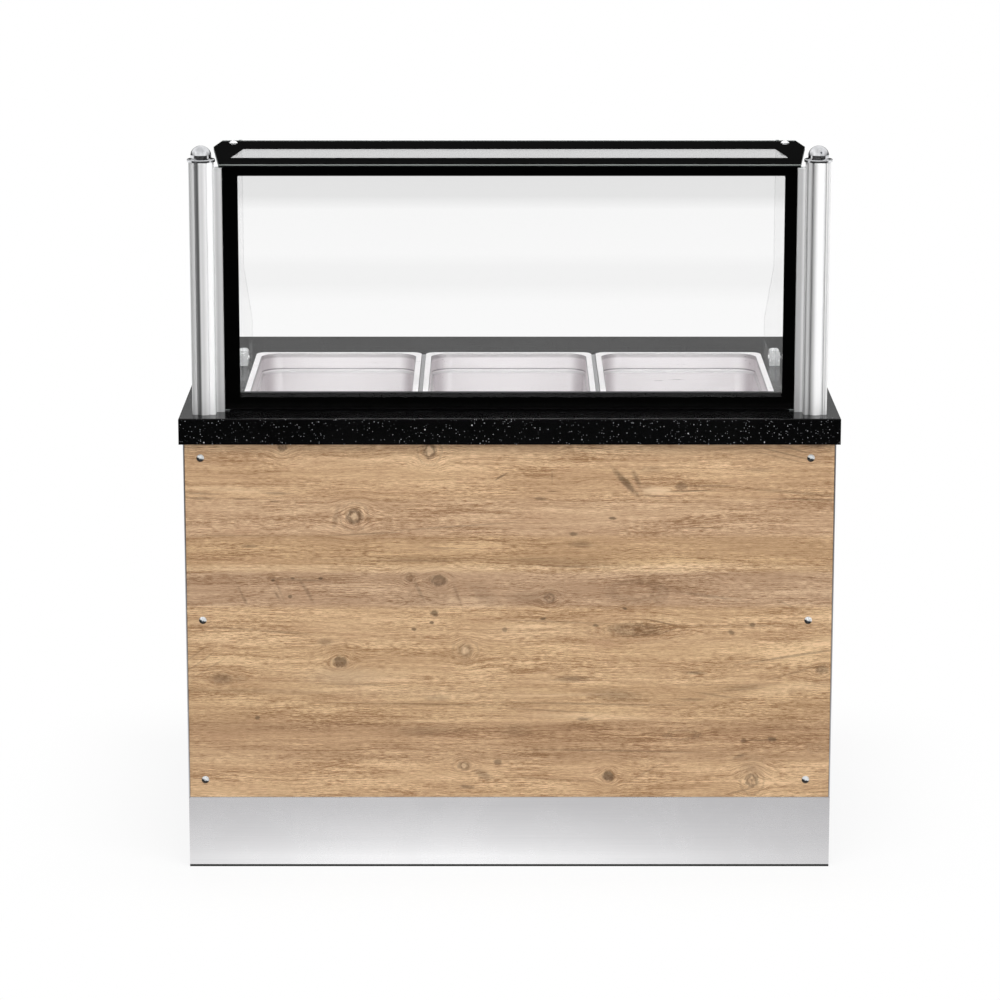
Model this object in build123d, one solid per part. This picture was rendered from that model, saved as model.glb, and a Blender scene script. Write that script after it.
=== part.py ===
from build123d import *
import os

os.makedirs("parts", exist_ok=True)

# Millimetres. Origin on the floor under the middle of the worktop, +Z up, the customer stands
# on the -Y side, the operator on the +Y side.

# Food pans, full gastronorm size, and the gap between two rims
pan_width = 325.0
pan_length = 530.0
pan_depth = 150.0
pan_gap = 7.0
pan_sheet = 1.0
pan_rim_round = 1.6
pan_rim_width = 12.0
pan_rim_height = 5.0
pan_curl = 3.0
pan_rim_corner = 20.0
pan_inner_corner = 40.0
pan_shoulder_drop = 33.0
pan_shoulder_height = 5.0
pan_shoulder_step = 3.5
pan_draft = 7.0
pan_floor_round = 12.0

# Worktop: what is left around the pans, and its build-up
side_strip = 105.5
front_strip = 110.0
rear_strip = 210.0
worktop_top = 850.0
slab_thickness = 20.0
skirt_height = 28.0
skirt_width = 30.0
edge_round = 2.0
cutout_play = 4.0

# Body under the worktop
side_overhang = 7.0
front_overhang = 12.0
rear_overhang = 42.0
plinth_top = 134.0
side_sheet = 2.0
sheet = 1.5
board_thickness = 18.0
board_inset = 1.0
board_play = 0.5
upright_width = 60.0
upright_depth = 40.0
rail_size = 30.0
tube_wall = 2.0
fold_round = 1.2
end_plate = 6.0
ground_clearance = 60.0
seal_height = 3.5
seal_width = 9.5
plinth_fold = 8.0
shelf_lip = 20.0

# Levelling feet
foot_pad_radius = 20.0
foot_pad_height = 9.0
foot_stem_radius = 6.0
foot_thread_length = 34.0
foot_hex = 19.0

# Dome screws of the front board
dome_radius = 7.0
dome_height = 4.0
screw_radius = 3.0
screw_top_inset = 27.5
screw_bottom_inset = 33.0
screw_left_inset = 31.0
screw_right_inset = 45.5
hole_play = 0.2

# Tank, its heating and its insulation
tank_depth = 200.0
tank_sheet = 1.2
rim_bearing = 9.0
flange_margin = 1.0
heater_space = 16.0
insulation_thickness = 25.0
casing_sheet = 1.0
casing_flange = 15.0
bar_overlap = 8.0
bar_web = 3.0
bar_web_height = 20.0
element_radius = 4.0
element_spread = 180.0
element_offset = 240.0
element_end_gap = 50.0
element_tail = 28.0
clamp_width = 25.0
clamp_thickness = 3.0
clamp_overhang = 18.0
loose_gap = 0.3
probe_radius = 3.0
probe_length = 80.0
capillary_radius = 1.2
capillary_bend = 12.0

# Drain
pipe_radius = 10.65
pipe_bore = 8.5
drain_inset = 60.0
drain_hole = 15.0
strainer_radius = 21.0
strainer_thickness = 1.5
strainer_collar = 6.0
strainer_hole = 1.4
strainer_ring = 5.0
outlet_flange_radius = 24.0
outlet_flange_thickness = 3.0
tailpipe_drop = 28.0
valve_length = 60.0
valve_core_radius = 19.0
valve_hex = 27.0
valve_socket = 12.0
ball_radius = 13.0
stem_radius = 4.0
stem_fit = 0.05
stem_reach = 38.0
boss_radius = 8.0
boss_reach = 30.0
lever_length = 95.0
lever_width = 16.0
lever_thickness = 3.0
lever_arm_inset = 2.0
lever_nut = 13.0
waste_end = 50.0
spigot_radius = 9.5
spigot_length = 50.0

# Glass hood
post_side_setback = 23.0
post_front_setback = 32.0
post_body_width = 43.0
post_depth = 54.0
post_height = 460.0
post_corner = 5.0
post_lobe_radius = 14.0
post_lobe_reach = 5.0
post_groove = 1.6
post_lip_width = 14.5
post_lip_depth = 12.0
post_back_lip_width = 23.0
post_bore = 5.2
stud_radius = 5.0
stud_in_post = 60.0
cap_disc_radius = 25.5
cap_disc_height = 5.0
cap_neck_radius = 12.0
cap_neck_height = 2.0
cap_dome_radius = 19.0
cap_dome_height = 22.0
cap_skirt_height = 5.5
cap_spigot = 18.0
cap_screw_hole = 1.8
glass_thickness = 6.0
glass_play = 0.2
print_thickness = 0.2
front_glass_setback = 75.0
glass_below_post = 13.5
front_edge_play = 5.0
channel_foot = 2.0
channel_height = 33.0
channel_leg = 12.0
window_side = 34.5
window_shift = 3.0
window_top = 15.5
window_bottom = 22.5
top_glass_rear = 415.0
top_glass_play = 9.0
top_glass_overhang = 49.0
top_rear_taper = 11.0
top_corner_depth = 322.0
top_window_front = 103.0
top_window_depth = 122.0
top_window_side = 41.0
top_window_taper = 16.0
window_round = 2.0
side_glass_inset = 82.0
side_slot_depth = 10.0
side_slot_floor = 2.0
side_glass_top_rear = 596.0
side_glass_top_drop = 16.0
side_glass_step_height = 184.0
side_glass_foot_rear = 840.0
side_glass_foot_height = 40.0
clamp_setback = 540.0
fixing_setback = 382.0
foot_clamp_height = 30.0
foot_clamp_length = 30.0
foot_clamp_cheek = 10.0
foot_clamp_round = 6.0
joint_block_length = 36.0
joint_block_height = 20.0
joint_block_cheek = 7.0
joint_block_round = 4.2
notch_length = 20.0
notch_depth = 12.0
button_radius = 8.0
button_height = 4.0
button_shank = 4.0

# Control panel and what sits in it, seen from the operator side
control_height = 165.0
control_level = 62.0
panel_play = 0.5
thermostat_from_end = 262.5
thermostat_side = 40.0
thermostat_depth = 54.0
spindle_radius = 3.0
spindle_fit = 0.05
spindle_depth = 12.0
knob_radius = 22.0
knob_height = 18.0
knob_gap = 0.8
knob_grip_width = 9.0
knob_hub_radius = 15.84
knob_skirt_height = 6.0
switch_from_knob = 90.0
switch_height = 30.0
switch_width = 22.0
switch_frame = 2.0
switch_body_depth = 24.0
rocker_radius = 11.5
rocker_angle = 10.0
rocker_pivot_depth = 3.0
rocker_axle = 1.5
rocker_axle_fit = 0.05
rocker_ridge = 1.0
axle_end_wall = 0.5
lamp_from_switch = 55.0
lamp_radius = 6.0
lamp_bezel = 8.5
lamp_lens_height = 4.2
lamp_nut = 16.0
terminal_from_end = 142.5
terminal_length = 70.0
terminal_height = 22.0
terminal_depth = 25.0
terminal_ways = 6
gland_from_end = 52.5
gland_drop = 95.0
gland_thread = 8.0
gland_nut = 11.0
gland_hex = 24.0
gland_bore = 4.5
gland_length = 22.0

# Doors
door_thickness = 20.0
door_gap = 1.5
door_side_gap = 2.5
pin_radius = 4.0
pin_fit = 0.05
pin_length = 15.0
pin_edge = 12.0
pin_depth = 6.0
bracket_thickness = 3.0
bracket_width = 18.0
hinge_block_height = 18.0
handle_spacing = 128.0
handle_radius = 5.0
handle_reach = 30.0
handle_bend = 12.0
handle_edge = 45.0
handle_drop = 110.0
magnet_width = 40.0
magnet_height = 20.0
magnet_depth = 22.0
magnet_x = 70.0

# Sizes that follow
pan_pitch = pan_width + pan_gap
pan_zone_width = 3 * pan_width + 2 * pan_gap
worktop_width = pan_zone_width + 2 * side_strip
worktop_depth = front_strip + pan_length + rear_strip
worktop_half = worktop_width / 2
front_edge = -worktop_depth / 2
rear_edge = worktop_depth / 2
pan_y = front_edge + front_strip + pan_length / 2
body_top = worktop_top - slab_thickness - skirt_height
slab_bottom = worktop_top - slab_thickness
body_half = worktop_half - side_overhang
front_face = front_edge + front_overhang
rear_face = rear_edge - rear_overhang
side_inner = body_half - side_sheet
upright_inner = side_inner - upright_width
upright_x = side_inner - upright_width / 2
screw_columns = (screw_left_inset - body_half, body_half - screw_right_inset)
board_front = front_face + board_inset
board_back = board_front + board_thickness
frame_front = board_back + sheet
frame_rear = rear_face
rear_rail_back = rear_face - sheet
control_bottom = body_top - control_height

tank_open_x = pan_zone_width / 2 - rim_bearing
tank_open_y = pan_length / 2 - rim_bearing
flange_x = pan_zone_width / 2 + flange_margin
flange_y = pan_length / 2 + flange_margin
flange_top = worktop_top + tank_sheet
tank_floor = worktop_top - tank_depth
tank_under = tank_floor - tank_sheet
jacket_x = tank_open_x + tank_sheet
jacket_y = tank_open_y + tank_sheet
lagging_x = jacket_x + insulation_thickness
lagging_y = jacket_y + insulation_thickness
lagging_top = tank_under - heater_space
lagging_bottom = lagging_top - insulation_thickness
casing_x = lagging_x + casing_sheet
casing_y = lagging_y + casing_sheet
casing_bottom = lagging_bottom - casing_sheet
element_level = tank_under - element_radius - loose_gap
element_front = pan_y - tank_open_y + element_end_gap
element_back = pan_y + casing_y + element_tail
drain_x = tank_open_x - drain_inset
drain_y = pan_y + tank_open_y - drain_inset
valve_top = casing_bottom - tailpipe_drop + valve_socket
valve_mid = valve_top - valve_length / 2
valve_bottom = valve_top - valve_length

post_outer = worktop_half - post_side_setback
post_inner = post_outer - post_body_width
post_x = post_outer - post_body_width / 2
post_front = front_edge + post_front_setback
post_back = post_front + post_depth
post_y = (post_front + post_back) / 2
post_top = worktop_top + post_height
shoulder_front = post_front + post_lobe_reach
glass_front = front_edge + front_glass_setback
glass_back = glass_front + glass_thickness
pane_top = post_top - glass_below_post
top_glass_bottom = pane_top + print_thickness
top_glass_top = top_glass_bottom + glass_thickness
front_glass_half = post_inner - front_edge_play
side_pane_x = worktop_half - side_glass_inset
side_slot_front = glass_back + 2 * glass_play + side_slot_floor
back_lip_x = post_inner - post_back_lip_width
clamp_y = front_edge + clamp_setback
fixing_y = front_edge + fixing_setback

control_z = control_bottom + rail_size + control_level - rail_size / 2
gland_x = gland_from_end - upright_inner
terminal_x = terminal_from_end - upright_inner
thermostat_x = thermostat_from_end - upright_inner
switch_x = thermostat_x + switch_from_knob
lamp_x = switch_x + lamp_from_switch
door_bottom = plinth_top + bracket_thickness + door_gap
door_top = control_bottom - bracket_thickness - door_gap
door_outer = upright_inner - door_side_gap
pin_x = door_outer - pin_edge
pin_y = rear_face - pin_depth
door_back = rear_face - door_thickness


def block(x0, x1, y0, y1, z0, z1):
    return Pos((x0 + x1) / 2, (y0 + y1) / 2, (z0 + z1) / 2) * Box(x1 - x0, y1 - y0, z1 - z0)


def slab(width, depth, corner, z0, z1, y=0.0):
    return Pos(0, y, z0) * extrude(RectangleRounded(width, depth, corner), z1 - z0)


def rod(radius, start, direction, length):
    place = Plane(origin=start, z_dir=direction)
    return place * Cylinder(radius, length, align=(Align.CENTER, Align.CENTER, Align.MIN))


def hexagon(across_flats, start, direction, length):
    place = Plane(origin=start, z_dir=direction)
    return place * extrude(RegularPolygon(across_flats / 2, 6, major_radius=False), length)


def other_side(shape):
    return mirror(shape, about=Plane.YZ)


def both_sides(shape):
    return [shape, other_side(shape)]


def tube_x(x0, x1, y0, y1, z0, z1):
    return block(x0, x1, y0, y1, z0, z1) - block(
        x0, x1, y0 + tube_wall, y1 - tube_wall, z0 + tube_wall, z1 - tube_wall)


def tube_y(x0, x1, y0, y1, z0, z1):
    return block(x0, x1, y0, y1, z0, z1) - block(
        x0 + tube_wall, x1 - tube_wall, y0, y1, z0 + tube_wall, z1 - tube_wall)


def save(node, *shapes):
    pieces = [solid for shape in shapes for solid in shape.solids()]
    whole = pieces[0] if len(pieces) == 1 else Compound(children=pieces)
    whole.label = node
    export_step(whole, f"parts/{node}.step")


# Frame of square tube

def screw_levels():
    top = body_top - screw_top_inset
    bottom = plinth_top + screw_bottom_inset
    return [top, (top + bottom) / 2, bottom]


def upright(y0):
    x0, x1, y1 = upright_inner, side_inner, y0 + upright_depth
    tube = block(x0, x1, y0, y1, ground_clearance, body_top)
    tube -= block(x0 + tube_wall, x1 - tube_wall, y0 + tube_wall, y1 - tube_wall,
                  ground_clearance + end_plate, body_top - end_plate)
    foot_hole = rod(foot_stem_radius + hole_play, (upright_x, (y0 + y1) / 2, ground_clearance),
                    (0, 0, 1), end_plate)
    return tube - foot_hole


def corner_uprights():
    front = upright(frame_front)
    front -= rod(stud_radius + hole_play, (post_x, post_y, body_top - end_plate), (0, 0, 1), end_plate)
    fronts = [drilled_for_screws(piece, frame_front, tube_wall) for piece in both_sides(front)]
    rear = upright(frame_rear - upright_depth)
    return fronts + both_sides(rear)


def base_rails():
    top, bottom = plinth_top, plinth_top - rail_size
    side_front, side_rear = frame_front + upright_depth, frame_rear - upright_depth
    front = tube_x(-upright_inner, upright_inner, frame_front, frame_front + rail_size, bottom, top)
    rear = tube_x(-upright_inner, upright_inner, frame_rear - rail_size, frame_rear, bottom, top)
    side = tube_y(side_inner - rail_size, side_inner, side_front, side_rear, bottom, top)
    return [front, rear] + both_sides(side)


def top_rails():
    top, bottom = body_top, body_top - rail_size
    side_front, side_rear = frame_front + upright_depth, frame_rear - upright_depth
    rear_front = rear_rail_back - rail_size
    front = tube_x(-upright_inner, upright_inner, frame_front, frame_front + rail_size, bottom, top)
    rear = tube_x(-upright_inner, upright_inner, rear_front, rear_rail_back, bottom, top)
    head = tube_x(-upright_inner, upright_inner, rear_front, rear_rail_back,
                  control_bottom, control_bottom + rail_size)
    side = tube_y(side_inner - rail_size, side_inner, side_front, side_rear, bottom, top)
    return [front, rear, head] + both_sides(side)


def levelling_feet():
    feet = []
    for y in (frame_front + upright_depth / 2, frame_rear - upright_depth / 2):
        pad = Pos(upright_x, y, foot_pad_height / 2) * Cylinder(foot_pad_radius, foot_pad_height)
        pad = chamfer(pad.edges().group_by(Axis.Z)[-1], foot_pad_height / 2)
        hex_bottom = ground_clearance - foot_pad_height
        neck = rod(foot_stem_radius, (upright_x, y, foot_pad_height), (0, 0, 1),
                   hex_bottom - foot_pad_height)
        nut = hexagon(foot_hex, (upright_x, y, hex_bottom), (0, 0, 1), foot_pad_height)
        thread = rod(foot_stem_radius, (upright_x, y, ground_clearance), (0, 0, 1), foot_thread_length)
        feet += both_sides(pad + neck + nut + thread)
    return feet


# Panels of the body

def side_panel():
    return block(side_inner, body_half, front_face, rear_face, plinth_top, body_top)


def front_inner_sheet():
    sheet_piece = block(-side_inner, side_inner, board_back, frame_front, plinth_top, body_top)
    return drilled_for_screws(sheet_piece, board_back, sheet)


def front_wood_panel():
    half = side_inner - board_play
    board = block(-half, half, board_front, board_back, plinth_top, body_top)
    return drilled_for_screws(board, board_front, board_thickness)


def screw_places():
    return [(x, level) for x in screw_columns for level in screw_levels()]


def drilled_for_screws(piece, y, depth):
    for x, level in screw_places():
        piece -= rod(screw_radius + hole_play, (x, y, level), (0, 1, 0), depth)
    return piece


def dome(radius, height):
    sphere_radius = (radius ** 2 + height ** 2) / (2 * height)
    ball = Pos(0, 0, height - sphere_radius) * Sphere(sphere_radius)
    return ball & Pos(0, 0, height / 2) * Cylinder(radius, height)


def front_panel_screws():
    screws = []
    shank_length = frame_front + tube_wall + dome_height - board_front
    for x, level in screw_places():
        place = Plane(origin=(x, board_front, level), z_dir=(0, -1, 0))
        head = place * dome(dome_radius, dome_height)
        shank = rod(screw_radius, (x, board_front, level), (0, 1, 0), shank_length)
        screws.append(head + shank)
    return screws


def plinth_front():
    face = block(-body_half, body_half, front_face, front_face + sheet, seal_height, plinth_top)
    top_fold = block(-side_inner, side_inner, front_face + sheet, frame_front,
                     plinth_top - sheet, plinth_top)
    bottom_fold = block(-side_inner, side_inner, front_face + sheet, front_face + sheet + plinth_fold,
                        seal_height, seal_height + sheet)
    whole = face + top_fold + bottom_fold
    front_edges = whole.edges().filter_by(Axis.X).sort_by(Axis.Y)[:2]
    return fillet(front_edges, fold_round)


def plinth_side():
    face = block(side_inner, body_half, front_face + sheet, rear_face, seal_height, plinth_top)
    fold = block(side_inner - plinth_fold, side_inner, front_face + sheet + plinth_fold,
                 rear_face, seal_height, seal_height + sheet)
    return face + fold


def plinth_rear():
    y0 = frame_rear - rail_size
    top = plinth_top - rail_size
    face = block(-upright_inner, upright_inner, y0, y0 + sheet, seal_height, top)
    fold = block(-upright_inner, upright_inner, y0 + sheet, y0 + plinth_fold, top - sheet, top)
    return face + fold


def plinth_seal():
    front = block(-body_half, body_half, front_face, front_face + seal_width, 0, seal_height)
    side = block(body_half - seal_width, body_half, front_face + seal_width, rear_face, 0, seal_height)
    return [front] + both_sides(side)


def bottom_shelf():
    y0, y1 = frame_front + upright_depth, frame_rear - upright_depth
    plate = block(-side_inner, side_inner, y0, y1, plinth_top, plinth_top + sheet)
    lip_half = side_inner - rail_size
    front_lip = block(-lip_half, lip_half, y0, y0 + sheet, plinth_top - shelf_lip, plinth_top)
    rear_lip = block(-lip_half, lip_half, y1 - sheet, y1, plinth_top - shelf_lip, plinth_top)
    pipe_hole = rod(pipe_radius + loose_gap, (drain_x, drain_y, plinth_top), (0, 0, 1), sheet)
    return plate + front_lip + rear_lip - pipe_hole


# Worktop

def worktop_cutout(z0, z1):
    return slab(2 * (tank_open_x + cutout_play), 2 * (tank_open_y + cutout_play),
                pan_rim_corner + cutout_play, z0, z1, pan_y)


def stud_holes(piece, z0, z1):
    for x in (-post_x, post_x):
        piece -= rod(stud_radius + hole_play, (x, post_y, z0), (0, 0, 1), z1 - z0)
    return piece


def granite_worktop():
    whole = block(-worktop_half, worktop_half, front_edge, rear_edge, body_top, worktop_top)
    whole = fillet(whole.edges().group_by(Axis.Z)[-1], edge_round)
    whole -= block(-worktop_half + skirt_width, worktop_half - skirt_width, front_edge + skirt_width,
                   rear_edge - skirt_width, body_top, slab_bottom)
    whole -= worktop_cutout(slab_bottom, worktop_top)
    return stud_holes(whole, body_top, worktop_top)


def worktop_substrate():
    board = block(-worktop_half + skirt_width, worktop_half - skirt_width, front_edge + skirt_width,
                  rear_edge - skirt_width, body_top, slab_bottom)
    board -= worktop_cutout(body_top, slab_bottom)
    return stud_holes(board, body_top, slab_bottom)


# Water tank, its jacket and its heating

def tank_inside(z0, z1):
    return slab(2 * tank_open_x, 2 * tank_open_y, pan_rim_corner, z0, z1, pan_y)


def tank_outside(z0, z1):
    return slab(2 * jacket_x, 2 * jacket_y, pan_rim_corner + tank_sheet, z0, z1, pan_y)


def tank_walls():
    return tank_outside(tank_floor, worktop_top) - tank_inside(tank_floor, worktop_top)


def tank_bottom():
    hole = rod(drain_hole, (drain_x, drain_y, tank_under), (0, 0, 1), tank_sheet)
    return tank_outside(tank_under, tank_floor) - hole


def tank_flange():
    plate = slab(2 * flange_x, 2 * flange_y, pan_rim_corner + flange_margin,
                 worktop_top, flange_top, pan_y)
    return plate - tank_inside(worktop_top, flange_top)


def pan_support_bars():
    x = pan_pitch / 2
    half = pan_gap / 2 + bar_overlap
    y0, y1 = pan_y - tank_open_y, pan_y + tank_open_y
    strip = block(x - half, x + half, y0, y1, worktop_top, flange_top)
    web = block(x - bar_web / 2, x + bar_web / 2, y0, y1, worktop_top - bar_web_height, worktop_top)
    return both_sides(strip + web)


def element_holes(piece, y, depth):
    for x in (-element_offset, element_offset):
        for side in (-1, 1):
            start = (x + side * element_spread / 2, y, element_level)
            piece -= rod(element_radius + loose_gap, start, (0, 1, 0), depth)
    capillary = (thermostat_x, y, tank_under - probe_radius - loose_gap)
    return piece - rod(capillary_radius + loose_gap, capillary, (0, 1, 0), depth)


def tank_insulation():
    rear_y = pan_y + jacket_y
    whole = block(-lagging_x, lagging_x, pan_y - lagging_y, pan_y + lagging_y, lagging_bottom, body_top)
    whole -= block(-jacket_x, jacket_x, pan_y - jacket_y, rear_y, lagging_top, body_top)
    pipe_hole = rod(pipe_radius + loose_gap, (drain_x, drain_y, lagging_bottom), (0, 0, 1),
                    insulation_thickness)
    return element_holes(whole - pipe_hole, rear_y, insulation_thickness)


def tank_casing():
    rear_y = pan_y + lagging_y
    whole = block(-casing_x, casing_x, pan_y - casing_y, pan_y + casing_y, casing_bottom, body_top)
    whole += block(-casing_x - casing_flange, casing_x + casing_flange,
                   pan_y - casing_y - casing_flange, pan_y + casing_y + casing_flange,
                   body_top - casing_sheet, body_top)
    whole -= block(-lagging_x, lagging_x, pan_y - lagging_y, rear_y, lagging_bottom, body_top)
    pipe_hole = rod(pipe_radius + loose_gap, (drain_x, drain_y, casing_bottom), (0, 0, 1), casing_sheet)
    return element_holes(whole - pipe_hole, rear_y, casing_sheet)


def heating_elements():
    bend = element_spread / 2
    arc_y = element_front + bend
    left, right = element_offset - bend, element_offset + bend
    path = Wire([
        Edge.make_line((left, element_back, element_level), (left, arc_y, element_level)),
        Edge.make_three_point_arc((left, arc_y, element_level),
                                  (element_offset, element_front, element_level),
                                  (right, arc_y, element_level)),
        Edge.make_line((right, arc_y, element_level), (right, element_back, element_level)),
    ])
    section = Plane(origin=(left, element_back, element_level), z_dir=(0, -1, 0)) * Circle(element_radius)
    return both_sides(sweep(section, path=path))


def element_clamps():
    clamps = []
    bottom = element_level - element_radius - loose_gap
    x0 = element_offset - element_spread / 2 - clamp_overhang
    x1 = element_offset + element_spread / 2 + clamp_overhang
    leg = clamp_overhang - element_radius * 2
    for y in (pan_y - tank_open_y / 3, pan_y + tank_open_y / 2):
        y0, y1 = y - clamp_width / 2, y + clamp_width / 2
        bar = block(x0, x1, y0, y1, bottom - clamp_thickness, bottom)
        bar += block(x0, x0 + leg, y0, y1, bottom, tank_under)
        bar += block(x1 - leg, x1, y0, y1, bottom, tank_under)
        clamps += both_sides(bar)
    return clamps


def thermostat_probe():
    level = tank_under - probe_radius - loose_gap
    bulb_end = pan_y + tank_open_y / 2
    bulb = rod(probe_radius, (thermostat_x, bulb_end - probe_length, level), (0, 1, 0), probe_length)
    rise_y = rear_rail_back - thermostat_depth + capillary_bend
    rise_top = control_z - thermostat_side / 2
    path = FilletPolyline((thermostat_x, bulb_end, level), (thermostat_x, rise_y, level),
                          (thermostat_x, rise_y, rise_top), radius=capillary_bend)
    section = Plane(origin=(thermostat_x, bulb_end, level), z_dir=(0, 1, 0)) * Circle(capillary_radius)
    return bulb + sweep(section, path=path)


# Drain with its ball valve

def drain_strainer():
    disc = Pos(drain_x, drain_y, tank_floor) * extrude(Circle(strainer_radius), strainer_thickness)
    collar_bottom = tank_floor - strainer_collar
    collar = Pos(drain_x, drain_y, collar_bottom) * extrude(
        Circle(drain_hole - loose_gap) - Circle(drain_hole - loose_gap - strainer_thickness),
        strainer_collar)
    spots = [Location(), *PolarLocations(strainer_ring, 6), *PolarLocations(2 * strainer_ring, 12)]
    for spot in spots:
        disc -= Pos(drain_x, drain_y, tank_floor) * spot * extrude(Circle(strainer_hole), strainer_thickness)
    return disc + collar


def drain_tailpipe():
    flange_z = tank_under - outlet_flange_thickness
    pipe_end = casing_bottom - tailpipe_drop
    flange = Pos(drain_x, drain_y, flange_z) * extrude(Circle(outlet_flange_radius),
                                                       outlet_flange_thickness)
    flange -= Pos(drain_x, drain_y, flange_z) * extrude(Circle(drain_hole), outlet_flange_thickness)
    plate_z = tank_floor - strainer_collar - strainer_thickness - outlet_flange_thickness
    cup = Pos(drain_x, drain_y, plate_z) * extrude(Circle(outlet_flange_radius - strainer_thickness),
                                                   flange_z - plate_z)
    cup -= Pos(drain_x, drain_y, plate_z + outlet_flange_thickness) * extrude(
        Circle(drain_hole), flange_z - plate_z)
    pipe = Pos(drain_x, drain_y, pipe_end) * extrude(Circle(pipe_radius), plate_z - pipe_end)
    bore = Pos(drain_x, drain_y, pipe_end) * extrude(
        Circle(pipe_bore), plate_z + outlet_flange_thickness - pipe_end)
    return flange + cup + pipe - bore


def valve_body():
    core_half = valve_length / 2 - valve_socket
    core = rod(valve_core_radius, (drain_x, drain_y, valve_mid - core_half), (0, 0, 1), 2 * core_half)
    for z in (valve_bottom, valve_top - valve_socket):
        core += hexagon(valve_hex, (drain_x, drain_y, z), (0, 0, 1), valve_socket)
    core += rod(boss_radius, (drain_x, drain_y, valve_mid), (0, 1, 0), boss_reach)
    core -= rod(pipe_bore, (drain_x, drain_y, valve_bottom), (0, 0, 1), valve_length)
    for z in (valve_bottom, valve_top - valve_socket):
        core -= rod(pipe_radius + hole_play, (drain_x, drain_y, z), (0, 0, 1), valve_socket)
    core -= Pos(drain_x, drain_y, valve_mid) * Sphere(ball_radius + loose_gap)
    return core - rod(stem_radius + stem_fit, (drain_x, drain_y, valve_mid), (0, 1, 0), boss_reach)


def valve_ball():
    ball = Pos(drain_x, drain_y, valve_mid) * Sphere(ball_radius)
    ball -= rod(pipe_bore, (drain_x - ball_radius, drain_y, valve_mid), (1, 0, 0), 2 * ball_radius)
    stem = rod(stem_radius, (drain_x, drain_y + pipe_bore, valve_mid), (0, 1, 0), stem_reach - pipe_bore)
    nut_y = drain_y + boss_reach + loose_gap + lever_thickness + loose_gap
    nut = hexagon(lever_nut, (drain_x, nut_y, valve_mid), (0, 1, 0), drain_y + stem_reach - nut_y)
    return ball + stem + nut


def valve_lever():
    y0 = drain_y + boss_reach + loose_gap
    y1 = y0 + lever_thickness
    hub = rod(lever_width / 2, (drain_x, y0, valve_mid), (0, 1, 0), lever_thickness)
    arm_half = lever_width / 2 - lever_arm_inset
    arm = block(drain_x - lever_length, drain_x, y0, y1, valve_mid - arm_half, valve_mid + arm_half)
    tip = block(drain_x - lever_length, drain_x - lever_length / 3, y0, y1 + lever_thickness,
                valve_mid - lever_width / 2, valve_mid + lever_width / 2)
    tip = fillet(tip.edges().filter_by(Axis.Y), lever_width / 3)
    return hub + arm + tip - rod(stem_radius + stem_fit, (drain_x, y0, valve_mid), (0, 1, 0),
                                 lever_thickness)


def waste_pipe():
    top = valve_bottom + valve_socket
    collar_bottom = waste_end + spigot_length
    pipe = rod(pipe_radius, (drain_x, drain_y, collar_bottom), (0, 0, 1), top - collar_bottom)
    collar = hexagon(valve_hex, (drain_x, drain_y, collar_bottom), (0, 0, 1), valve_socket)
    spigot = rod(spigot_radius, (drain_x, drain_y, waste_end), (0, 0, 1), spigot_length)
    return pipe + collar + spigot - rod(pipe_bore, (drain_x, drain_y, waste_end), (0, 0, 1), top - waste_end)


# Food pans

def pan_form(inset, top):
    half_width = pan_width / 2 - pan_rim_width + pan_sheet - inset
    half_length = pan_length / 2 - pan_rim_width + pan_sheet - inset
    corner = pan_inner_corner + pan_sheet - inset
    step = pan_shoulder_step
    foot = step + pan_draft
    floor = pan_depth - inset
    shoulder_end = pan_shoulder_drop + pan_shoulder_height

    def section(shrink, z):
        outline = RectangleRounded(2 * (half_width - shrink), 2 * (half_length - shrink), corner - shrink)
        return Pos(0, 0, z) * outline

    collar = loft([section(0, top), section(0, -pan_shoulder_drop)])
    shoulder = loft([section(0, -pan_shoulder_drop), section(step, -shoulder_end)])
    body = loft([section(step, -shoulder_end), section(foot, -floor)])
    form = collar + shoulder + body
    return fillet(form.edges().group_by(Axis.Z)[0], pan_floor_round - inset)


def pan(x):
    rim_top = flange_top + pan_rim_height
    opening = extrude(RectangleRounded(pan_width - 2 * pan_rim_width, pan_length - 2 * pan_rim_width,
                                       pan_inner_corner), -pan_rim_height)
    outline = RectangleRounded(pan_width, pan_length, pan_rim_corner)
    inner_outline = RectangleRounded(pan_width - 2 * pan_curl, pan_length - 2 * pan_curl,
                                     pan_rim_corner - pan_curl)
    rim = extrude(outline, -pan_rim_height)
    rim -= Pos(0, 0, -pan_sheet) * extrude(inner_outline, -pan_rim_height)
    rim -= opening
    whole = rim + (pan_form(0.0, 0.0) - pan_form(pan_sheet, pan_sheet))
    top_edges = whole.edges().group_by(Axis.Z)[-1]
    whole = fillet(top_edges, pan_rim_round)
    return Pos(x, pan_y, rim_top) * whole


# Glass hood

def post_body_outline():
    width, height = post_body_width, post_back - shoulder_front
    outline = Pos(post_x, (shoulder_front + post_back) / 2) * RectangleRounded(width, height, post_corner)
    lobe_y = post_front + post_lobe_radius
    outline += Pos(post_x, lobe_y) * Circle(post_lobe_radius)
    half_chord = (post_lobe_radius ** 2 - (lobe_y - shoulder_front) ** 2) ** 0.5
    for side in (-1, 1):
        outline -= Pos(post_x + side * half_chord, shoulder_front) * Rectangle(post_groove, 2 * post_groove)
    return outline - Pos(post_x, post_y) * Circle(post_bore)


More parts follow.
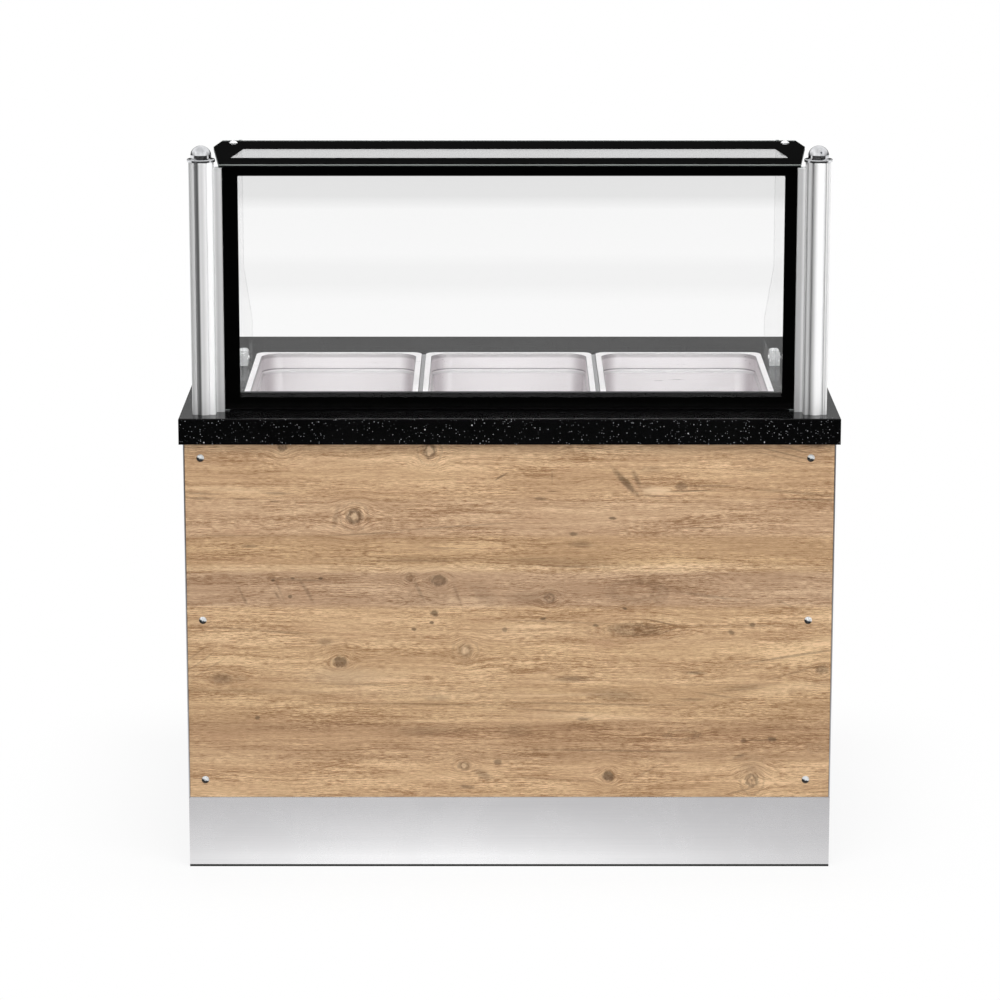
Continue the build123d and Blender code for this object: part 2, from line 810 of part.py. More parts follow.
def glass_post():
    lip_x = post_inner - post_lip_width
    body = Pos(0, 0, worktop_top) * extrude(post_body_outline(), post_height)
    front_lip = block(lip_x, post_inner + post_corner, glass_front - post_lip_depth, glass_front,
                      worktop_top, pane_top)
    lip_back = side_slot_front + side_slot_depth
    back_lip = block(back_lip_x, post_inner + post_corner, glass_back + 2 * glass_play, lip_back,
                     worktop_top, pane_top)
    slot_half = glass_thickness / 2 + glass_play
    side_slot = block(side_pane_x - slot_half, side_pane_x + slot_half, side_slot_front, lip_back,
                      worktop_top, pane_top)
    bore = rod(post_bore, (post_x, post_y, worktop_top), (0, 0, 1), post_height)
    return body + front_lip + back_lip - side_slot - bore


def post_studs():
    bottom = body_top - end_plate
    stud = rod(stud_radius, (post_x, post_y, bottom), (0, 0, 1), worktop_top + stud_in_post - bottom)
    return both_sides(stud)


def post_cap(hole_direction):
    disc = Cylinder(cap_disc_radius, cap_disc_height, align=(Align.CENTER, Align.CENTER, Align.MIN))
    disc = fillet(disc.edges().group_by(Axis.Z)[-1], cap_disc_height / 3)
    neck = rod(cap_neck_radius, (0, 0, cap_disc_height), (0, 0, 1), cap_neck_height)
    dome_bottom = cap_disc_height + cap_neck_height
    head = Pos(0, 0, dome_bottom + cap_skirt_height) * dome(cap_dome_radius,
                                                            cap_dome_height - cap_skirt_height)
    head += rod(cap_dome_radius, (0, 0, dome_bottom), (0, 0, 1), cap_skirt_height)
    hole_z = dome_bottom + cap_dome_height / 2
    hole = rod(cap_screw_hole, (0, 0, hole_z), hole_direction, cap_dome_radius)
    spigot = rod(stud_radius, (0, 0, 0), (0, 0, -1), cap_spigot)
    return disc + neck + (head - hole) + spigot


def post_caps():
    right = Pos(post_x, post_y, post_top) * post_cap((0.2, -1, 0))
    left = Pos(-post_x, post_y, post_top) * post_cap((-1, 0, 0))
    return [left, right]


def front_glass():
    return block(-front_glass_half, front_glass_half, glass_front, glass_back,
                 worktop_top + channel_foot, pane_top)


def front_glass_print():
    layer = block(-front_glass_half, front_glass_half, glass_back, glass_back + print_thickness,
                  worktop_top + channel_foot, pane_top)
    half = front_glass_half - window_side
    z0, z1 = worktop_top + channel_foot + window_bottom, pane_top - window_top
    window = block(window_shift - half, window_shift + half, glass_back, glass_back + print_thickness,
                   z0, z1)
    return layer - fillet(window.edges().filter_by(Axis.Y), window_round)


def front_glass_channel():
    leg_front = glass_back + print_thickness
    leg_back = leg_front + channel_leg
    foot = block(-back_lip_x, back_lip_x, glass_front, leg_back, worktop_top, worktop_top + channel_foot)
    leg = block(-back_lip_x, back_lip_x, leg_front, leg_back, worktop_top + channel_foot,
                worktop_top + channel_height)
    return foot + leg


def top_glass_outline():
    rear = front_edge + top_glass_rear
    corner_y = front_edge + top_corner_depth
    narrow = post_inner - top_glass_play
    wide = worktop_half - top_glass_overhang
    rear_half = wide - top_rear_taper
    return make_face(Polyline((-narrow, glass_front), (narrow, glass_front), (wide, corner_y),
                              (rear_half, rear), (-rear_half, rear), (-wide, corner_y), close=True))


def button_holes(outline, play):
    for x in (-side_pane_x, side_pane_x):
        outline -= Pos(x, fixing_y) * Circle(button_shank + play)
    return outline


def top_glass():
    return Pos(0, 0, top_glass_bottom) * extrude(button_holes(top_glass_outline(), hole_play),
                                                 glass_thickness)


def top_glass_window():
    y0 = glass_front + top_window_front
    y1 = y0 + top_window_depth
    front_half = worktop_half - top_glass_overhang - top_window_side
    rear_half = front_half - top_window_taper
    window = make_face(Polyline((-front_half, y0), (front_half, y0), (rear_half, y1), (-rear_half, y1),
                                close=True))
    return fillet(window.vertices(), window_round)


def top_glass_print():
    outline = button_holes(top_glass_outline(), hole_play) - top_glass_window()
    return Pos(0, 0, pane_top) * extrude(outline, print_thickness)


def side_glass():
    step_y = front_edge + side_glass_top_rear
    foot_y = front_edge + side_glass_foot_rear
    y0 = side_slot_front + glass_play
    z0 = worktop_top
    points = [(y0, z0), (foot_y, z0), (foot_y, z0 + side_glass_foot_height),
              (step_y, z0 + side_glass_step_height), (step_y, pane_top - side_glass_top_drop),
              (front_edge + top_glass_rear, pane_top), (y0, pane_top)]
    face = Plane.YZ * make_face(Polyline(*points, close=True))
    pane = Pos(side_pane_x - glass_thickness / 2, 0, 0) * extrude(face, glass_thickness)
    notch = block(side_pane_x - glass_thickness, side_pane_x + glass_thickness,
                  fixing_y - notch_length / 2, fixing_y + notch_length / 2,
                  pane_top - notch_depth, pane_top)
    return pane - notch


def side_glass_clamps():
    half = glass_thickness / 2 + foot_clamp_cheek
    clamp = block(side_pane_x - half, side_pane_x + half, clamp_y - foot_clamp_length / 2,
                  clamp_y + foot_clamp_length / 2, worktop_top, worktop_top + foot_clamp_height)
    clamp = fillet(clamp.edges().filter_by(Axis.Y).group_by(Axis.Z)[-1], foot_clamp_round)
    screw = Plane(origin=(side_pane_x - half, clamp_y, worktop_top + foot_clamp_height / 2),
                  z_dir=(-1, 0, 0)) * dome(foot_clamp_cheek / 2, foot_clamp_cheek / 4)
    return both_sides(clamp + screw - side_glass())


def top_glass_fixings():
    half = glass_thickness / 2 + joint_block_cheek
    joint = block(side_pane_x - half, side_pane_x + half, fixing_y - joint_block_length / 2,
                  fixing_y + joint_block_length / 2, pane_top - joint_block_height, pane_top)
    joint = fillet(joint.edges().filter_by(Axis.Y).group_by(Axis.Z)[0], joint_block_round)
    joint -= side_glass()
    shank = rod(button_shank, (side_pane_x, fixing_y, pane_top - notch_depth), (0, 0, 1),
                top_glass_top + button_height / 2 - pane_top + notch_depth)
    head = Pos(side_pane_x, fixing_y, top_glass_top) * dome(button_radius, button_height)
    return both_sides(joint + shank + head)


# Control panel on the operator side

def control_panel():
    half = upright_inner - panel_play
    panel = block(-half, half, rear_rail_back, rear_face, control_bottom, body_top)
    spindle = rod(spindle_radius * 2, (thermostat_x, rear_rail_back, control_z), (0, 1, 0), sheet)
    lamp = rod(lamp_radius + hole_play, (lamp_x, rear_rail_back, control_z), (0, 1, 0), sheet)
    gland_z = body_top - gland_drop
    gland = rod(gland_thread + hole_play, (gland_x, rear_rail_back, gland_z), (0, 1, 0), sheet)
    switch = block(switch_x - switch_width / 2, switch_x + switch_width / 2, rear_rail_back, rear_face,
                   control_z - switch_height / 2, control_z + switch_height / 2)
    return panel - spindle - lamp - gland - switch


def thermostat_body():
    half = thermostat_side / 2
    y0 = rear_rail_back - thermostat_depth
    body = block(thermostat_x - half, thermostat_x + half, y0, rear_rail_back,
                 control_z - half, control_z + half)
    body = fillet(body.edges().filter_by(Axis.Y), thermostat_side / 12)
    socket_y = rear_rail_back - spindle_depth
    return body - rod(spindle_radius + spindle_fit, (thermostat_x, socket_y, control_z), (0, 1, 0),
                      spindle_depth)


def thermostat_spindle():
    return rod(spindle_radius, (thermostat_x, rear_rail_back - spindle_depth + loose_gap, control_z),
               (0, 1, 0), spindle_depth - loose_gap + sheet + knob_gap + knob_height / 2)


def thermostat_knob():
    y0 = rear_face + knob_gap
    skirt = rod(knob_radius, (thermostat_x, y0, control_z), (0, 1, 0), knob_skirt_height)
    skirt = chamfer(skirt.edges().group_by(Axis.Y)[-1], knob_skirt_height / 3)
    hub = rod(knob_hub_radius, (thermostat_x, y0, control_z), (0, 1, 0), knob_height)
    half = knob_grip_width / 2
    flank = knob_radius
    for side in (-1, 1):
        x_near = thermostat_x + side * half
        x_far = thermostat_x + side * flank
        hub -= block(min(x_near, x_far), max(x_near, x_far), y0 + knob_skirt_height, y0 + knob_height,
                     control_z - flank, control_z + flank)
    hub = fillet(hub.edges().group_by(Axis.Y)[-1].filter_by(Axis.Z), half / 3)
    bore = rod(spindle_radius, (thermostat_x, y0, control_z), (0, 1, 0), knob_height / 2)
    return skirt + hub - bore


def switch_housing():
    bezel_w, bezel_h = switch_width / 2 + switch_frame, switch_height / 2 + switch_frame
    bezel = block(switch_x - bezel_w, switch_x + bezel_w, rear_face, rear_face + switch_frame,
                  control_z - bezel_h, control_z + bezel_h)
    bezel = chamfer(bezel.edges().group_by(Axis.Y)[-1], switch_frame / 3)
    inner = hole_play
    body = block(switch_x - switch_width / 2 + inner, switch_x + switch_width / 2 - inner,
                 rear_face - switch_body_depth, rear_face,
                 control_z - switch_height / 2 + inner, control_z + switch_height / 2 - inner)
    pocket_w = switch_width / 2 - switch_frame
    pocket_h = rocker_radius + loose_gap
    pocket = block(switch_x - pocket_w, switch_x + pocket_w,
                   rear_face - rocker_pivot_depth - rocker_radius - loose_gap, rear_face + switch_frame,
                   control_z - pocket_h, control_z + pocket_h)
    axle_y = rear_face - rocker_pivot_depth
    axle = rod(rocker_axle + rocker_axle_fit,
               (switch_x - switch_width / 2 + axle_end_wall, axle_y, control_z), (1, 0, 0),
               switch_width - 2 * axle_end_wall)
    return bezel + body - pocket - axle


def switch_rocker():
    axle_y = rear_face - rocker_pivot_depth
    half = switch_width / 2 - switch_frame - loose_gap
    drum = rod(rocker_radius, (switch_x - half, axle_y, control_z), (1, 0, 0), 2 * half)
    face_reach = rocker_pivot_depth + switch_frame + rocker_ridge
    for tilt in (-rocker_angle, rocker_angle):
        cutter = Location((switch_x, axle_y, control_z)) * Rot(X=tilt) * block(
            -switch_width, switch_width, face_reach, 4 * rocker_radius, -2 * rocker_radius,
            2 * rocker_radius)
        drum -= cutter
    drum -= block(switch_x - switch_width, switch_x + switch_width, axle_y - 2 * rocker_radius,
                  axle_y - rocker_radius / 2, control_z - 2 * rocker_radius, control_z + 2 * rocker_radius)
    drum = drum.rotate(Axis((switch_x, axle_y, control_z), (1, 0, 0)), -rocker_angle)
    axle_half = switch_width / 2 - axle_end_wall - loose_gap
    return drum + rod(rocker_axle, (switch_x - axle_half, axle_y, control_z), (1, 0, 0), 2 * axle_half)


def pilot_lamp():
    body = rod(lamp_radius, (lamp_x, rear_face - switch_body_depth, control_z), (0, 1, 0), switch_body_depth)
    bezel = rod(lamp_bezel, (lamp_x, rear_face, control_z), (0, 1, 0), switch_frame)
    lens = Plane(origin=(lamp_x, rear_face + switch_frame, control_z), z_dir=(0, 1, 0)) * dome(
        lamp_radius, lamp_lens_height)
    nut = hexagon(lamp_nut, (lamp_x, rear_rail_back - switch_frame * 2, control_z), (0, 1, 0),
                  switch_frame * 2)
    return body + bezel + lens + nut


def terminal_block():
    y0, y1 = rear_rail_back - terminal_depth, rear_rail_back
    half = terminal_length / 2
    body = block(terminal_x - half, terminal_x + half, y0, y1,
                 control_z - terminal_height / 2, control_z + terminal_height / 2)
    pitch = terminal_length / terminal_ways
    for way in range(terminal_ways):
        x = terminal_x - half + (way + 0.5) * pitch
        body -= rod(pitch / 4, (x, y0, control_z), (0, 1, 0), terminal_depth / 2)
    return body


def cable_gland():
    z = body_top - gland_drop
    hex_height = gland_length / 4
    body = hexagon(gland_hex, (gland_x, rear_face, z), (0, 1, 0), hex_height)
    nut = rod(gland_nut, (gland_x, rear_face + hex_height, z), (0, 1, 0), gland_length - hex_height)
    nut = fillet(nut.edges().group_by(Axis.Y)[-1], gland_nut / 3)
    thread = rod(gland_thread, (gland_x, rear_rail_back - gland_thread, z), (0, 1, 0), gland_thread + sheet)
    locknut = hexagon(gland_hex, (gland_x, rear_rail_back - hex_height, z), (0, 1, 0), hex_height)
    bore = rod(gland_bore, (gland_x, rear_rail_back - gland_thread, z), (0, 1, 0), 2 * gland_length)
    return body + nut + thread + locknut - bore


# Doors on the operator side, the right one drawn and the left one mirrored

def door_skin():
    skin_back = door_back + sheet
    leaf = block(door_gap, door_outer, skin_back, rear_face, door_bottom, door_top)
    leaf = fillet(leaf.edges().group_by(Axis.Y)[-1], fold_round)
    leaf -= block(door_gap + sheet, door_outer - sheet, skin_back, rear_face - sheet,
                  door_bottom + sheet, door_top - sheet)
    block_x = pin_x - pin_edge + sheet
    leaf += block(block_x, door_outer - sheet, skin_back, rear_face - sheet,
                  door_bottom + sheet, door_bottom + hinge_block_height)
    leaf += block(block_x, door_outer - sheet, skin_back, rear_face - sheet,
                  door_top - hinge_block_height, door_top - sheet)
    hole_depth = pin_length + loose_gap
    leaf -= rod(pin_radius + pin_fit, (pin_x, pin_y, door_bottom), (0, 0, 1), hole_depth)
    leaf -= rod(pin_radius + pin_fit, (pin_x, pin_y, door_top), (0, 0, -1), hole_depth)
    return leaf


def door_liner():
    return block(door_gap, door_outer, door_back, door_back + sheet, door_bottom, door_top)


def door_handle():
    z1 = door_top - handle_drop
    z0 = z1 - handle_spacing
    y1 = rear_face + handle_reach
    x = door_gap + handle_edge
    path = FilletPolyline((x, rear_face, z0), (x, y1, z0), (x, y1, z1), (x, rear_face, z1),
                          radius=handle_bend)
    section = Plane(origin=(x, rear_face, z0), z_dir=(0, 1, 0)) * Circle(handle_radius)
    return sweep(section, path=path)


def door_hinges():
    x0, x1 = pin_x - bracket_width / 2, upright_inner
    y0, y1 = rear_face - bracket_width, rear_face
    lower = block(x0, x1, y0, y1, plinth_top, plinth_top + bracket_thickness)
    lower += rod(pin_radius, (pin_x, pin_y, plinth_top + bracket_thickness), (0, 0, 1), pin_length)
    upper = block(x0, x1, y0, y1, control_bottom - bracket_thickness, control_bottom)
    upper += rod(pin_radius, (pin_x, pin_y, control_bottom - bracket_thickness), (0, 0, -1), pin_length)
    return both_sides(lower) + both_sides(upper)


def door_magnets():
    magnet = block(magnet_x - magnet_width / 2, magnet_x + magnet_width / 2, door_back - magnet_depth,
                   door_back, control_bottom - magnet_height, control_bottom)
    return both_sides(magnet)


save("corner_uprights", *corner_uprights())
save("base_rails", *base_rails())
save("top_rails", *top_rails())
save("levelling_feet", *levelling_feet())
save("side_panels", *both_sides(side_panel()))
save("front_inner_sheet", front_inner_sheet())
save("front_wood_panel", front_wood_panel())
save("front_panel_screws", *front_panel_screws())
save("plinth_front", plinth_front())
save("plinth_sides", *both_sides(plinth_side()))
save("plinth_rear", plinth_rear())
save("plinth_seal", *plinth_seal())
save("bottom_shelf", bottom_shelf())
save("granite_worktop", granite_worktop())
save("worktop_substrate", worktop_substrate())
save("tank_walls", tank_walls())
save("tank_bottom", tank_bottom())
save("tank_flange", tank_flange())
save("pan_support_bars", *pan_support_bars())
save("tank_insulation", tank_insulation())
save("tank_casing", tank_casing())
save("heating_elements", *heating_elements())
save("element_clamps", *element_clamps())
save("thermostat_probe", thermostat_probe())
save("drain_strainer", drain_strainer())
save("drain_tailpipe", drain_tailpipe())
save("valve_body", valve_body())
save("valve_ball", valve_ball())
save("valve_lever", valve_lever())
save("waste_pipe", waste_pipe())
save("pan_left", pan(-pan_pitch))
save("pan_centre", pan(0.0))
save("pan_right", pan(pan_pitch))
save("glass_posts", *both_sides(glass_post()))
save("post_studs", *post_studs())
save("post_caps", *post_caps())
save("front_glass", front_glass())
save("front_glass_channel", front_glass_channel())
save("top_glass", top_glass())
save("glass_prints", front_glass_print(), top_glass_print())
save("side_glasses", *both_sides(side_glass()))
save("side_glass_clamps", *side_glass_clamps())
save("top_glass_fixings", *top_glass_fixings())
save("control_panel", control_panel())
save("thermostat_body", thermostat_body())
save("thermostat_spindle", thermostat_spindle())
save("thermostat_knob", thermostat_knob())
save("switch_housing", switch_housing())
save("switch_rocker", switch_rocker())
save("pilot_lamp", pilot_lamp())
save("terminal_block", terminal_block())
save("cable_gland", cable_gland())
save("right_door", door_skin())
save("left_door", other_side(door_skin()))
save("right_door_liner", door_liner())
save("left_door_liner", other_side(door_liner()))
save("door_hinges", *door_hinges())
save("door_magnets", *door_magnets())
save("right_door_handle", door_handle())
save("left_door_handle", other_side(door_handle()))
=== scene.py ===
# Bain marie counter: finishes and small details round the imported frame.
# Metres, up is +Z, the customer stands at -Y and the operator at +Y.
import bpy
import bmesh
import math
from mathutils import Matrix, Vector


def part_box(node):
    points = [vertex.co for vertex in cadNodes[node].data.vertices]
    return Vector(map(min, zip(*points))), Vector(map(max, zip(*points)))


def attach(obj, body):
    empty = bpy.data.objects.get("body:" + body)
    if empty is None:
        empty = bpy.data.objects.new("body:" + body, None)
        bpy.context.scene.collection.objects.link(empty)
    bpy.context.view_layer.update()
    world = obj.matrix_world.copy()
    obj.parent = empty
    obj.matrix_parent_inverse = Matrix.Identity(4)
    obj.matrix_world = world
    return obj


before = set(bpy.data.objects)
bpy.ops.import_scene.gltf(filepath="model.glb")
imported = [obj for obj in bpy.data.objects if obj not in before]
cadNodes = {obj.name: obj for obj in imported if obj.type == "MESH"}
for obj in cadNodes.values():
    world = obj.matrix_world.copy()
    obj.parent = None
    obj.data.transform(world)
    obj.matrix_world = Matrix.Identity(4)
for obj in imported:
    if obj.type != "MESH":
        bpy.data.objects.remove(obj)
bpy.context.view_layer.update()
scene = bpy.context.scene
scene.view_settings.view_transform = "Standard"
print("frame loaded:", len(cadNodes), "nodes")

canvas = {}    # "tree" is the node tree being drawn


def tint(red, green, blue):
    # a colour as it is read on screen, 0 to 255, in the linear values that nodes use
    linear = []
    for level in (red, green, blue):
        part = level / 255
        linear.append(part / 12.92 if part <= 0.04045 else ((part + 0.055) / 1.055) ** 2.4)
    return (*linear, 1)


def feed(socket, value):
    if isinstance(value, bpy.types.NodeSocket):
        canvas["tree"].links.new(value, socket)
    else:
        socket.default_value = value


def put(kind, inputs=None, **settings):
    made = canvas["tree"].nodes.new("ShaderNode" + kind)
    for label, value in settings.items():
        setattr(made, label, value)
    for label, value in (inputs or {}).items():
        feed(made.inputs[label], value)
    return made


def out(kind, inputs=None, **settings):
    return put(kind, inputs, **settings).outputs[0]


def calc(operation, first, second=0, third=0, clamp=False):
    return out("Math", {0: first, 1: second, 2: third}, operation=operation, use_clamp=clamp)


def times(first, second, clamp=False):
    return calc("MULTIPLY", first, second, clamp=clamp)


def less(first, second):
    return calc("SUBTRACT", first, second)


def timesPlus(first, second, third):
    return calc("MULTIPLY_ADD", first, second, third)


def absolute(value):
    return calc("ABSOLUTE", value)


def ease(value, low, high, start=0, end=1, kind="SMOOTHSTEP"):
    return out("MapRange", {"Value": value, "From Min": low, "From Max": high, "To Min": start, "To Max": end},
               interpolation_type=kind)


def blendTone(share, first, second, kind="MIX"):
    return put("Mix", {0: share, 6: first, 7: second}, data_type="RGBA", blend_type=kind).outputs[2]


def mixShader(share, first, second):
    return out("MixShader", {0: share, 1: first, 2: second})


def toneRamp(value, stops):
    made = put("ValToRGB", {0: value})
    steps = made.color_ramp.elements
    while len(steps) > 1:
        steps.remove(steps[-1])
    for index, (where, tone) in enumerate(stops):
        step = steps[0] if index == 0 else steps.new(where)
        step.position = where
        step.color = tone if isinstance(tone, tuple) else (tone, tone, tone, 1)
    return made.outputs[0]


def rampOver(value, low, high, stops):
    # stops spread from low to high
    return toneRamp(ease(value, low, high, kind="LINEAR"), stops)


def cloud(vector, scale=1, detail=2, rough=0.5, twist=0):
    return out("TexNoise", {"Vector": vector, "Scale": scale, "Detail": detail, "Roughness": rough,
                            "Distortion": twist})


def stretch(vector, factors):
    return out("VectorMath", {0: vector, 1: factors}, operation="MULTIPLY")


def spot():
    # the place on the part, in metres: every object sits at the origin
    return put("TexCoord").outputs["Object"]


def axes(vector):
    return put("SeparateXYZ", {0: vector}).outputs


def facings():
    return axes(put("NewGeometry").outputs["Normal"])


def newGroup(name, takes, gives):
    # takes and gives by their first values: a tuple is a vector, a number a value
    group = canvas["tree"] = bpy.data.node_groups.new(name, "ShaderNodeTree")
    for side, sockets in (("INPUT", takes), ("OUTPUT", gives)):
        for label, start in sockets.items():
            kind = "NodeSocketVector" if isinstance(start, tuple) else "NodeSocketFloat"
            group.interface.new_socket(name=label, in_out=side, socket_type=kind).default_value = start
    return group, group.nodes.new("NodeGroupInput").outputs, group.nodes.new("NodeGroupOutput").inputs


def use(group, **values):
    made = put("Group", node_tree=group)
    for label, value in values.items():
        feed(made.inputs[label], value)
    return made.outputs


def newMaterial(name):
    material = bpy.data.materials.new(name)
    material.use_nodes = True
    canvas["tree"] = material.node_tree
    material.node_tree.nodes.clear()
    return material


def surface(height, strength, depth, **sockets):
    # the Principled shader of a material, with its relief, joined to the output
    names = {"colour": "Base Color", "metal": "Metallic", "rough": "Roughness", "clear": "Transmission Weight",
             "specular": "Specular IOR Level", "glow": "Emission Color", "glowLevel": "Emission Strength",
             "sheen": "Sheen Weight"}
    shader = put("BsdfPrincipled", {names[label]: value for label, value in sockets.items()})
    feed(shader.inputs["Normal"], out("Bump", {"Height": height, "Strength": strength, "Distance": depth}))
    put("OutputMaterial", {"Surface": shader.outputs[0]})


# Shared effects.

def makeBrushLines():
    # fine straight lines of a brushed or drawn surface: stretch is small along the lines
    group, given, result = newGroup("brushLines", {"place": (0, 0, 0), "stretch": (8, 900, 900), "broken": 0.5},
                                    {"lines": 0, "height": 0})
    along = stretch(given["place"], given["stretch"])
    fine = cloud(along, 1, 3, 0.65)
    coarse = cloud(stretch(along, (0.35, 0.31, 0.31)))
    share = times(cloud(given["place"], 9), given["broken"])
    feed(result["lines"], ease(timesPlus(less(coarse, fine), share, fine), 0.3, 0.7, kind="LINEAR"))
    feed(result["height"], fine)
    return group


def makeWornEdges():
    # pale worn line where two faces meet, found from the rounded normal
    group, given, result = newGroup("wornEdges", {"place": (0, 0, 0), "width": 0.001, "wear": 1}, {"mask": 0})
    rounded = out("Bevel", {"Radius": given["width"]}, samples=4)
    facing = put("VectorMath", {0: rounded, 1: put("NewGeometry").outputs["Normal"]},
                 operation="DOT_PRODUCT").outputs["Value"]
    chipped = ease(cloud(given["place"], 60, 3, 0.6), 0.3, 0.65)
    feed(result["mask"], times(times(ease(facing, 0.995, 0.75), chipped), given["wear"], clamp=True))
    return group


def makeHandMarks():
    # wiped and touched patches that change the gloss
    group, given, result = newGroup("handMarks", {"place": (0, 0, 0), "size": 7, "low": 0.2, "high": 0.3},
                                    {"rough": 0, "mask": 0})
    wide = cloud(given["place"], given["size"], 4, 0.6, 0.4)
    small = cloud(given["place"], times(given["size"], 9))
    mask = ease(timesPlus(small, 0.25, wide), 0.45, 0.8)
    feed(result["rough"], timesPlus(mask, less(given["high"], given["low"]), given["low"]))
    feed(result["mask"], mask)
    return group


def makeMouldGrain():
    # the fine pebbled face of moulded plastic and rubber
    group, given, result = newGroup("mouldGrain", {"place": (0, 0, 0), "size": 1500}, {"height": 0})
    pebble = out("TexVoronoi", {"Vector": given["place"], "Scale": given["size"]}, feature="SMOOTH_F1")
    soft = cloud(given["place"], times(given["size"], 0.35))
    feed(result["height"], timesPlus(soft, 0.6, pebble))
    return group


def makeDustFall():
    # dust that lies on faces turned upward
    group, given, result = newGroup("dustFall", {"place": (0, 0, 0), "amount": 0.3}, {"mask": 0})
    level = ease(facings()[2], 0.6, 1)
    patch = ease(cloud(given["place"], 24, 4, 0.65), 0.35, 0.75)
    feed(result["mask"], times(times(level, patch), given["amount"], clamp=True))
    return group


def makeCrystals():
    # scattered mineral flecks: a share of the cells carries one, each with its own brightness
    group, given, result = newGroup("crystals", {"place": (0, 0, 0), "scale": 300, "share": 0.1, "size": 0.4},
                                    {"mask": 0, "light": 0})
    cell = put("TexVoronoi", {"Vector": given["place"], "Scale": given["scale"]}).outputs
    pick = put("SeparateColor", {0: cell["Color"]}).outputs
    chosen = calc("LESS_THAN", pick[0], given["share"])
    reach = times(given["size"], timesPlus(pick[1], 0.8, 0.5))
    inside = ease(calc("DIVIDE", cell["Distance"], reach), 1.15, 0.7)
    feed(result["mask"], times(inside, chosen))
    feed(result["light"], calc("POWER", pick[2], 1.7))
    return group


brushLines, wornEdges, handMarks = makeBrushLines(), makeWornEdges(), makeHandMarks()
mouldGrain, dustFall, crystals = makeMouldGrain(), makeDustFall(), makeCrystals()


def handled(place, grain, rough):
    return use(handMarks, place=place, size=grain, low=rough[0], high=rough[1])


def worn(place, width, wear):
    return use(wornEdges, place=place, width=width, wear=wear)["mask"]


print("shared effects made")

# Camera, room and floor.

camera = {"place": (-0.0234, -7.5, 2.2617), "tilt": 0.21732, "lens": 143.52, "shift": 0.0033}


def setCamera():
    eye = bpy.data.objects.new("camera", bpy.data.cameras.new("camera"))
    scene.collection.objects.link(eye)
    eye.location = camera["place"]
    eye.rotation_euler = (math.pi / 2 - camera["tilt"], 0, 0)
    eye.data.sensor_width = 36
    eye.data.lens = camera["lens"]
    eye.data.shift_x = camera["shift"]
    eye.data.clip_end = 100
    scene.camera = eye


setCamera()

lampAim = (0, 0, 0.6)    # for most lamps
room = {
    "airLevel": 0.35,    # even light from all round
    # name, watts, place, size and aim
    "lamps": [("topBox", 85, (0.3, -2.2, 3.6), (3.2, 2.2), lampAim),
              ("leftBox", 29.4, (-2.9, -2.6, 1.7), (1.6, 2.4), lampAim),
              ("rightBox", 29.4, (2.9, -2.6, 1.7), (1.6, 2.4), lampAim),
              ("rearBox", 34, (0, 3.2, 3), (3, 1.6), lampAim),
              ("overBox", 25, (0, 0.1, 2.9), (1.5, 0.8), (0, 0.1, 0))],
    "floorRadius": 13,
    "foot": (0.593, 0.4), "fade": 0.45,    # half sizes of the counter's foot, and how far its shade reaches
    # tones that glossy faces mirror: by the height of the ray, by its turn, and along the floor in front
    "mirrorRise": [(0, 0.75), (0.49, 0.6), (0.52, 0.12), (0.54, 0.02), (0.572, 0.02), (0.584, 0.26),
                   (0.6, 0.4), (0.63, 0.75), (0.68, 0.95), (0.82, 1), (1, 0.9)],
    "mirrorTurn": [(0, 0.55), (0.12, 1), (0.3, 0.85), (0.5, 0.95), (0.7, 0.85), (0.88, 1), (1, 0.55)],
    "mirrorFront": [(0, 0.03), (0.18, 0.04), (0.5, 0.55), (0.72, 0.85), (0.84, 1), (1, 1)],
}


def softbox(name, watts, place, span, aim):
    lamp = bpy.data.lights.new(name, "AREA")
    lamp.shape = "RECTANGLE"
    lamp.size, lamp.size_y = span
    lamp.energy = watts
    holder = bpy.data.objects.new(name, lamp)
    scene.collection.objects.link(holder)
    holder.location = place
    holder.rotation_euler = (Vector(aim) - Vector(place)).to_track_quat("-Z", "Y").to_euler()
    holder.visible_glossy = False
    holder.visible_camera = False


def byRay(path, lit, seen, mirrored):
    # shaders for light that arrives, for what is looked at and for what shiny faces throw back,
    # without the rays that go on through glass
    looked = calc("MAXIMUM", path["Is Camera Ray"], path["Is Transmission Ray"])
    thrown = times(path["Is Glossy Ray"], less(1, path["Is Transmission Ray"]))
    return mixShader(thrown, mixShader(looked, lit, seen), mirrored)


def lightRoom():
    for lamp in room["lamps"]:
        softbox(*lamp)
    world = bpy.data.worlds.new("studioAir")
    scene.world = world
    world.use_nodes = True
    canvas["tree"] = world.node_tree
    world.node_tree.nodes.clear()
    path = put("LightPath").outputs
    facing = axes(put("TexCoord").outputs["Generated"])
    # what is mirrored: bright overhead, a dark band low down, paler towards the sides
    rise = rampOver(facing[2], -1, 1, room["mirrorRise"])
    turn = rampOver(facing[0], -1, 1, room["mirrorTurn"])
    mirrored = out("Background", {0: blendTone(1, rise, turn, "MULTIPLY")})
    white = out("Background", {0: (1, 1, 1, 1), 1: 1})
    air = out("Background", {0: (1, 1, 1, 1), 1: room["airLevel"]})
    put("OutputWorld", {"Surface": byRay(path, air, white, mirrored)})


